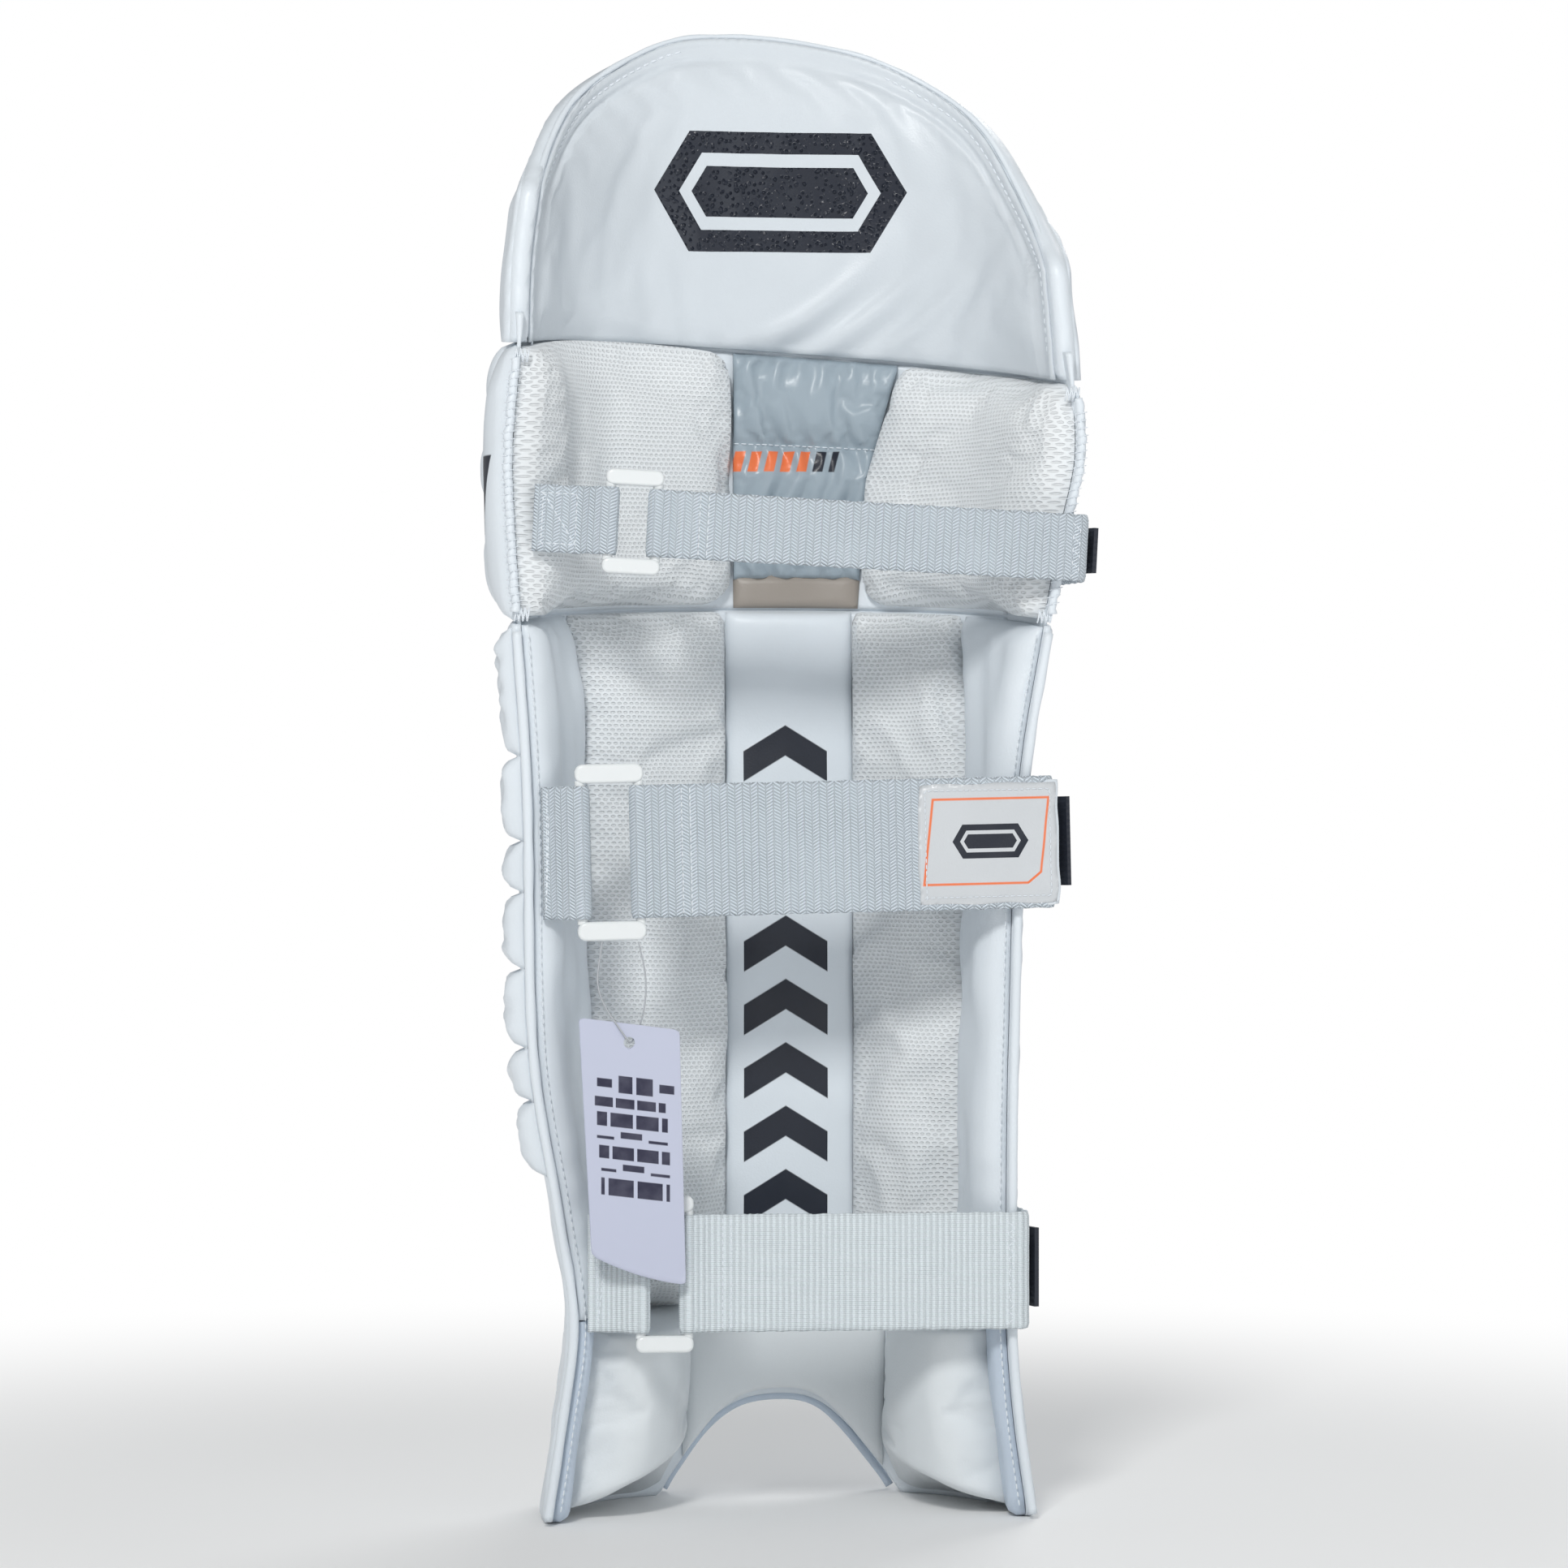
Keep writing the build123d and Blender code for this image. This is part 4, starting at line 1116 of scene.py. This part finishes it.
def creases(x, z, marks):
    """Long soft folds."""
    total = 0.0
    for mx, mz, turn, length, width, height in marks:
        c, s = cos(radians(turn)), sin(radians(turn))
        a, b = (x - mx) * c + (z - mz) * s, -(x - mx) * s + (z - mz) * c
        b = b - a * a * 0.002
        total = total + height * np.exp(-(a / length) ** 2 - (b / width) ** 2)
    return total


def top_hat():
    def core(d, b, x, z):
        return 5.5 + 3.3 * rounded(np.minimum(d, b), 4)
    Dome("top_hat_filling", "top_hat_core", "foam", 0.1, core, inset=0.2, reach=88.5, fill=0.9)

    def panel(d, b, x, z):
        inner = d - FLANGE
        within = np.clip(inner, 0, None)
        side = np.clip((np.abs(np.degrees(np.arctan2(x, 70.0)) * 1.6) - 18) / 24, 0, 1)
        flange = 0.7 + 1.5 * rounded(d, 3.0)
        flange = flange - 0.8 * side * np.exp(-((d - 5.0) / 1.4) ** 2)
        crease = -1.3 * side * np.exp(-(inner / 1.7) ** 2)
        swell = 5.2 * rounded(within, 26) * rounded(b, 16)
        pull = -0.9 * np.exp(-np.abs(inner - 2) / 7) * gathers(z + x, 21, 81)
        pull = pull - 1.2 * np.exp(-b / 8) * gathers(x, 19, 82)
        soft = creases(x, z, HAT_FOLDS) + 0.6 * waves(x, z, 70, 83)
        return flange + crease + swell + (pull + soft) * rounded(within, 14)
    back = Dome("top_hat_back_cover", "top_hat_back_panel", "emblem", 8.8, panel, inset=1.6,
                fill=0.5)
    settle(back, pressure=1.0, grow=0.007, cap=2.5)

    def front(d, b, x, z):
        inner = np.clip(d - FLANGE, 0, None)
        low = np.clip((650 - z) / 60, 0, 1)
        edge = 1.0 + (2.2 + 2.6 * low) * rounded(d, 9)
        return (edge + (6.0 - 2.0 * low) * rounded(inner, 34) * rounded(b, 20)
                + 0.7 * waves(x, z, 50, 84))
    Dome("top_hat_front_padding", "top_hat_front_cover", "pu", 2.0, front, side=-1, inset=0.4,
         reach=88.0)

    rim = back.outline(0.4)
    rim = rim[rim[:, 1] > 548]
    path = resample(spot(rim[:, 1], back.angle_of(rim[:, 0]), 7.0)[0], 4.0)
    wobble = 0.2 * ripple(np.arange(len(path)) * 4.0, 30, 85)
    tube("top_hat_edge_piping", "top_hat", "top_hat_piping", "piping", path, 1.5 + wobble)

    keep = back.outline(1.6 + 5.0)
    keep = keep[keep[:, 1] > 556]
    lines = []
    for _, side in SIDES:
        half = keep[back.angle_of(keep[:, 0]) * side > 26]
        lines.append(spot(half[:, 1], back.angle_of(half[:, 0]), 8.8 + 1.55)[0])
    stitches("top_hat_stitching", "top_hat", lines, 4.4, 3.1, 0.48)


# ---- webbing -----------------------------------------------------------------------------
def bent(points, radius=6.0, spacing=1.6):
    """A level line through points with round corners."""
    p = np.array(points, float)
    out = [p[0]]
    for before, at, after in zip(p, p[1:], p[2:]):
        a, b = before - at, after - at
        la, lb = np.linalg.norm(a), np.linalg.norm(b)
        a, b = a / la, b / lb
        half = np.arccos(np.clip(a @ b, -1, 1)) / 2
        cut = min(radius / tan(half), 0.48 * la, 0.48 * lb)
        r = cut * tan(half)
        centre = at + (a + b) / np.linalg.norm(a + b) * (r / sin(half))
        start, end = at + a * cut - centre, at + b * cut - centre
        for k in np.linspace(0, 1, 9):
            d = start * (1 - k) + end * k
            out.append(centre + d / np.linalg.norm(d) * r)
    return resample(out + [p[-1]], spacing)


class Webbing:
    """One strap's pieces, in the strap's own level frame: the ring's middle is the origin."""

    THICK = 1.7
    TOP = 1.85             # from the middle of the two layers to the outer face

    def __init__(self, name, ring, web, ring_width, tilt, tail_x, corner_x, end_y, look, seed):
        self.name, self.ring, self.web = name, np.array(ring, float), web
        self.bar = ring_width / 2 - 2.4
        self.tilt, self.tail_x, self.corner_x, self.end_y = radians(tilt), tail_x, corner_x, end_y
        self.look, self.seed = look, seed

    def place(self, local):
        x, y, z = np.moveaxis(np.asarray(local, float), -1, 0)
        c, s = cos(self.tilt), sin(self.tilt)
        return np.stack([x * c + z * s, y, -x * s + z * c], -1) + self.ring

    def bow(self, x, w):
        """How far the webbing stands towards the viewer, unevenly, away from the ring."""
        fade = np.clip((np.abs(x) - self.bar - 6) / 18, 0, 1)
        return -fade * (0.35 * waves(x, w * 0.6, 60, self.seed)
                        + 0.35 * waves(x, w * 2.2, 24, self.seed + 1))

    def ribbon(self, name, body, nodes, line):
        t = unit(np.gradient(line, axis=0))
        n = np.stack([t[:, 1], -t[:, 0]], -1)[:, None]
        s = walked(line)
        w = np.linspace(-0.5, 0.5, max(12, int(self.web / 2.2))) * self.web
        half = self.THICK / 2 * (rounded(self.web / 2 - np.abs(w), 0.9) * 0.75 + 0.25)[None, :]
        grids = []
        for side in (1, -1):
            x = line[:, None, 0] + side * n[..., 0] * half
            y = line[:, None, 1] + side * n[..., 1] * half
            wide = np.broadcast_to(w, x.shape)
            wave = 0.18 * np.sin(s[:, None] / 1.9 * 2 * pi) * (np.abs(wide) > self.web / 2 - 0.5)
            y = y + self.bow(x, wide)
            grids.append(self.place(np.stack([x, y, wide + wave * np.sign(wide)], -1)))
        uv = np.stack(np.broadcast_arrays(s[:, None], w[None, :]), -1)
        shell(name, body, nodes, self.look, *grids, uv)

    def eye(self, side):
        """Points round the ring's bar, from the layer next to the pad to the outer one."""
        turn = np.linspace(radians(50), radians(310), 15)
        return [(side * (self.bar + 3.65 * cos(a)), 3.65 * sin(a)) for a in turn]

    def strap(self, lap=55.0):
        near = self.bar + 9
        end = (self.wing_x() + 4.0 - self.ring[0], self.end_y - self.ring[1])
        loop = [(self.bar + 3 + lap, 0.95), (near, 0.95)] + self.eye(1) + [(near, -0.95)]
        turned = bent([(near, -0.95), (self.corner_x - self.ring[0], -0.95), end])
        self.ribbon(f"{self.name}_strap_webbing", f"{self.name}_strap", f"{self.name}_strap",
                    np.vstack([resample(loop, 1.2)[:-1], turned]))

    def wing_x(self):
        z = self.ring[2] - sin(self.tilt) * (self.corner_x - self.ring[0])
        _, right, back, crest = stations(z + np.array([-1, 0, 1]) * self.web / 2)
        v = (self.end_y - back) / (crest - back)
        return float(np.max(right * (1 - v ** ROUNDNESS) ** (1 / ROUNDNESS)))

    def tail(self, body):
        y = -62 - self.ring[1] - self.TOP
        far, turn, near = self.tail_x - self.ring[0], -self.bar - 14, -self.bar - 5
        inner = bent([(far, y + 0.9), (turn, y + 0.9), (near, 1.0)])
        outer = bent([(near, -1.0), (turn, y - 0.9), (far, y - 0.9)])
        self.ribbon(f"{self.name}_tail_webbing", body, f"{self.name}_tail",
                    np.vstack([inner, np.array(self.eye(-1)), outer]))
        return far, y

    def row(self, points, lift=TOP, y=0.0):
        """A stitch row through (x, w) points on the outer layer, lifted towards the viewer."""
        x, w = resample(points, 1.0).T
        return self.place(np.column_stack([x, y - lift + self.bow(x, w), w]))

    def zigzag(self, x, width, pitch=3.0):
        half = self.web / 2 - 2.5
        heights = np.arange(-half, half, pitch)
        return [(x + width * (0.5 if i % 2 else -0.5), w) for i, w in enumerate(heights)]


def straps():
    knee = Webbing("knee", (-82, -72, 471), 31.5, 27, 3.0, -128, 133.5, -16, "web", 91)
    calf = Webbing("calf", (-92.5, -72, 317), 62, 32, -1.3, -124, 118, -18, "web", 92)
    ankle = Webbing("ankle", (-67, -70, 120), 55, 27, 0.0, -102.5, 105.5, -20, "elastic", 93)
    for strap, body in ((knee, "knee"), (calf, "shin"), (ankle, "shin")):
        strap.strap()
        far, y = strap.tail(body)
        name, half, near = strap.name, strap.web / 2 - 4, -strap.bar - 15
        end = far + 4
        box = [(end, half), ((far + near) / 2, -half), (near, half)]
        if strap is knee:
            box = [(end, half), (near, half), (near, -half), (end, -half), (end, half),
                   (near, -half)]
        stitches(f"{name}_tail_stitching", body, [strap.row(box, y=y)], 3.4, 2.6, 0.3)
        lap = strap.bar + (20 if strap is not ankle else 16)
        rows = [strap.row([(x, -half - 1), (x, half + 1)]) for x in (lap, lap + 4)]
        stitches(f"{name}_lap_stitching", f"{name}_strap", rows, 3.2, 2.5, 0.3)
        end = strap.corner_x - strap.ring[0] - (9 if strap is ankle else 6)
        stitches(f"{name}_end_stitching", f"{name}_strap", [strap.row(strap.zigzag(end, 3.5))],
                 2.2, 2.1, 0.28)
    calf_badge(calf)


def calf_badge(strap):
    """The stitched patch near the calf strap's end: two layers with rounded corners."""
    middle = 85 - strap.ring[0]
    u, v = np.meshgrid(np.linspace(-1, 1, 34), np.linspace(-1, 1, 30))
    pulled = 1 - 0.016 * (np.abs(u) * np.abs(v)) ** 6
    for name, nodes, look, wide, high, front, thick, deep in (
            ("backing", "", "patch", 68, 59, -1.85, 1.0, 0.0),
            ("face", "calf_strap_patch", "badge", 65.5, 56.5, -2.9, 1.3, 0.35)):
        x = middle + u * wide / 2 * pulled + 0.35 * waves(v * 30, u * 3, 18, 95)
        w = v * high / 2 * pulled + 0.35 * waves(u * 30, v * 3, 22, 96)
        inner = np.minimum(wide / 2 * (1 - np.abs(u)), high / 2 * (1 - np.abs(v)))
        puff = rounded(inner, 1.6) * thick + 0.35 * rounded(np.clip(inner - 4, 0, None), 12)
        groove = deep * np.exp(-((inner - 3.2) / 0.9) ** 2)
        back = front + 1.0 + strap.bow(x, w)
        grids = [strap.place(np.stack([x, y, w], -1)) for y in (back - puff + groove, back)]
        shell(f"calf_patch_{name}", "calf_strap", nodes, look, *grids,
              np.stack([x - middle, w], -1))
    a, b = 65.5 / 2 - 3.2, 56.5 / 2 - 3.2
    loop = [(middle + i * a, j * b) for i, j in ((-1, -1), (1, -1), (1, 1), (-1, 1), (-1, -1))]
    stitches("calf_patch_stitching", "calf_strap", [strap.row(loop, 3.35)], 2.9, 2.2, 0.26)


# ---- tag ---------------------------------------------------------------------------------
TAG_Y = -82.5
TAG_CORNERS = [(-108, 240.5), (-61, 234.5), (-58, 116), (-102, 130)]
TAG_HOLE = (-84.5, 228.8)
STRING_ROUTE = [
    (-96.4, -73.5, 275.2), (-98.0, -75.2, 266.0), (-99.3, -78.0, 255.0), (-95.5, -81.5, 244.5),
    (-89.5, -84.4, 236.0), (-85.2, -84.6, 229.6), (-83.4, -80.6, 228.2), (-79.8, -79.2, 234.5),
    (-76.9, -78.4, 244.5), (-76.0, -77.0, 256.0), (-77.3, -75.0, 266.5), (-79.6, -73.5, 275.2),
]


def tag_card():
    corners = [np.array(c, float) for c in TAG_CORNERS]
    sides = [np.linspace(a, b, n, endpoint=False) for a, b, n in zip(
        corners, corners[1:] + corners[:1], (40, 90, 40, 90))]
    k = np.linspace(0, 1, 40, endpoint=False)
    sides[2][:, 1] -= 2.2 * 4 * k * (1 - k)
    outline = np.vstack(sides)
    middle = outline.mean(axis=0)
    for place in corners:
        pull = np.clip(1 - np.hypot(*(outline - place).T) / 2.2, 0, 1)[:, None]
        outline = outline + unit(middle - place) * pull * 0.9
    around = np.arctan2(outline[:, 1] - TAG_HOLE[1], outline[:, 0] - TAG_HOLE[0])
    hole = np.array(TAG_HOLE) + 2.6 * np.column_stack([np.cos(around), np.sin(around)])
    t = np.linspace(0, 1, 46)[:, None, None] ** 1.3
    flat = hole[None] * (1 - t) + outline[None] * t
    rings, count = flat.shape[:2]
    x, z = flat[..., 0], flat[..., 1]
    curl = 0.8 * ((x + 83) / 25) ** 2 - 0.5 + 0.5 * np.clip((150 - z) / 34, 0, 1) ** 2
    curl = curl * np.clip(np.hypot(x - TAG_HOLE[0], z - TAG_HOLE[1]) / 22, 0, 1)
    verts = np.vstack([np.stack([x, TAG_Y + curl + lift, z], -1).reshape(-1, 3)
                       for lift in (-0.3, 0.3)])
    other = rings * count
    faces = grid_faces(rings, count, wrap=True)
    faces += grid_faces(rings, count, other, flip=True, wrap=True)
    for start, order in ((0, 1), (other - count, -1)):
        for c in range(count):
            a, b = start + c, start + (c + 1) % count
            faces.append([a, b, b + other, a + other][::order])
    uv = np.stack([x, z], -1).reshape(-1, 2)
    new_piece("tag_printed_card", "tag", "tag_card", "card", verts, faces, np.vstack([uv, uv]))


def tag_string():
    curve = bpy.data.curves.new("tag_string_loop", "CURVE")
    curve.dimensions = "3D"
    curve.bevel_depth = 0.4 * MM
    curve.bevel_resolution = 3
    spline = curve.splines.new("NURBS")
    spline.points.add(len(STRING_ROUTE) - 1)
    for point, place in zip(spline.points, metres(STRING_ROUTE)):
        point.co = (*place, 1)
    spline.order_u = 3
    spline.use_endpoint_u = True
    spline.resolution_u = 10
    string = add_object("tag_string_loop", curve)
    slot, material = looks["string"]
    curve.materials.append(material.material)
    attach(string, "tag")
    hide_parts("tag_string")


# ---- edges -------------------------------------------------------------------------------
def edge_line(side, z, depth=3.0, back=2.5):
    line = spot(z, side * 90.0, depth)[0]
    line[:, 1] -= back
    return line


def edges():
    for name, side in SIDES:
        line = edge_line(side, np.arange(3, 421.5, 3.0))
        wobble = 0.16 * ripple(line[:, 2], 26, 101 + side)
        tube(f"{name}_shin_piping", "shin", "shin_edge_piping", "piping", line, 2.3 + wobble)
        line = edge_line(side, np.arange(429, 548 if side < 0 else 532, 1.2))
        scallop = 0.55 * np.abs(np.sin(line[:, 2] / 5.2 * pi)) + 0.35 * ripple(line[:, 2], 15, 103)
        line[:, 0] += side * (scallop * 0.8 - 0.5)
        tube(f"{name}_knee_binding", "knee", "knee_edge_piping", "piping", line,
             1.9 + 0.5 * scallop)
        k = np.linspace(-1, 1, 5)
        turn = (0.9 * k - 1) * pi / 2
        whips = [np.column_stack([x + 2.65 * np.cos(turn), y + 2.65 * np.sin(turn), z + 0.6 * k])
                 for x, y, z in line[4:len(line) - 4:3]]
        stitches(f"{name}_knee_overlock", "knee", whips, 1.9, 2.0, 0.26)
        line = edge_line(side, np.linspace(8, 418, 160), 8.6, 0.9)
        stitches(f"{name}_edge_stitching", "shin", [line], 4.0, 2.9, 0.34)

    x, z = ARCH_LINE[ARCH_LINE[:, 1] > 2].T
    height = z * FRONT_ARCH
    inset = 1 - 1.2 / np.hypot(x, height)
    angle = angle_at_x(lambda h: x * inset, -4.0)(height * inset)
    line = resample(spot(height * inset, angle, -4.0)[0], 3.0)
    # the arch piping's grey-blue is painted shade
    tube("arch_edge_piping", "shin", "arch_piping", "grey", line, 2.1)

    tacks = []
    across = np.linspace(-1, 1, 7)
    for _, side in SIDES:
        for z in (KNEE_SEAM_Z + 4.0, HAT_SEAM_Z + HAT_SEAM_SLOPE * side * 127 - 4.0):
            x, y, _ = spot(z, side * 90.0, 6.0)[0]
            for i in range(7):
                tacks.append(np.column_stack([
                    x + (i - 3) * 1.0 + 0.4 * across * (-1) ** i,
                    y - 1.0 - 1.5 * (1 - across ** 2), z + across * 2.6]))
    stitches("seam_bar_tacks", "knee", tacks, 1.1, 1.6, 0.42, "knee_bar_tacks")


def seam_gussets():
    """Folded cloth across each bending seam, baked in place and carried by no body."""
    angle, k = np.meshgrid(np.linspace(-88.5, 88.5, 150), np.linspace(-1, 1, 15))
    for name, low, high, seam, at_z in (
            ("knee_gusset", "shin", "knee", seam_shin, 430.4),
            ("hat_gusset", "knee", "top_hat", seam_hat, 553.8)):
        z = seam(angle, 4.0) + k * 15
        front = spot(z, angle, 2.6 + 1.2 * (1 - np.abs(k)))[0]
        back = spot(z, angle, 6.4 - 1.0 * (1 - np.abs(k)))[0]
        obj = shell(name, None, "", "pu", front, back, flip=True)
        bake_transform(obj)


# ---- the whole pad -----------------------------------------------------------------------
tag_card()
tag_string()
shin_inside()
knee_inside()
shin_outside()
knee_outside()
top_hat()
straps()
edges()
seam_gussets()

for node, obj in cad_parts.items():
    for part, material in cad_looks.items():
        if part in node:
            obj.data.materials.clear()
            obj.data.materials.append(material.material)


# ---- stage -------------------------------------------------------------------------------
def stage():
    around = 96
    turns = [2 * pi * i / around for i in range(around)]
    mesh = bpy.data.meshes.new("floor")
    mesh.from_pydata([(0.0, 0.0, 0.0)] + [(6 * cos(a), 6 * sin(a), 0.0) for a in turns], [],
                     [(0, 1 + i, 1 + (i + 1) % around) for i in range(around)])
    floor = add_object("floor", mesh)
    pale = Finish("pale_floor", (0.93, 0.93, 0.93), 0.7, specular=0.2)
    x, y, _ = pale.place()
    far = (x * x + y * y).sqrt().step(300.0, 1000.0)
    blend = pale.node("MixShader", {0: far, 1: Val(pale.tree, pale.shader.outputs[0]),
                                    2: pale.node("Emission")})
    pale.tree.links.new(blend.socket, pale.tree.nodes["Material Output"].inputs["Surface"])
    mesh.materials.append(pale.material)

    world = bpy.data.worlds.new("studio")
    bpy.context.scene.world = world
    world.use_nodes = True
    tree = world.node_tree
    sky = tree.nodes["Background"]
    sky.inputs["Color"].default_value = (0.96, 0.985, 1.0, 1)
    sky.inputs["Strength"].default_value = AMBIENT
    white_sky = add_node(tree, "Background", {"Color": (1, 1, 1, 1), "Strength": 1.0})
    camera_ray = add_node(tree, "LightPath").outputs["Is Camera Ray"]
    mix = add_node(tree, "MixShader", {
        0: Val(tree, camera_ray), 1: Val(tree, sky.outputs[0]), 2: Val(tree, white_sky.outputs[0])})
    tree.links.new(mix.outputs[0], tree.nodes["World Output"].inputs["Surface"])

    for name, place, size, power, colour in (
            ("key", (-0.9, -3.0, 2.3), 0.6, 64.0, (1.0, 0.99, 0.97)),
            ("fill", (1.6, -2.8, 0.3), 2.0, 17.0, (0.93, 0.97, 1.0)),
            ("back", (1.2, 2.4, 2.2), 1.6, 30.0, (1.0, 1.0, 1.0))):
        data = bpy.data.lights.new(name, "AREA")
        data.size, data.energy, data.color = size, power, colour
        lamp = add_object(name, data)
        lamp.location = place
        lamp.rotation_euler = (AIM - Vector(place)).to_track_quat("-Z", "Y").to_euler()
    view = bpy.context.scene.view_settings
    view.view_transform = "Standard"
    view.exposure = 0.0


stage()
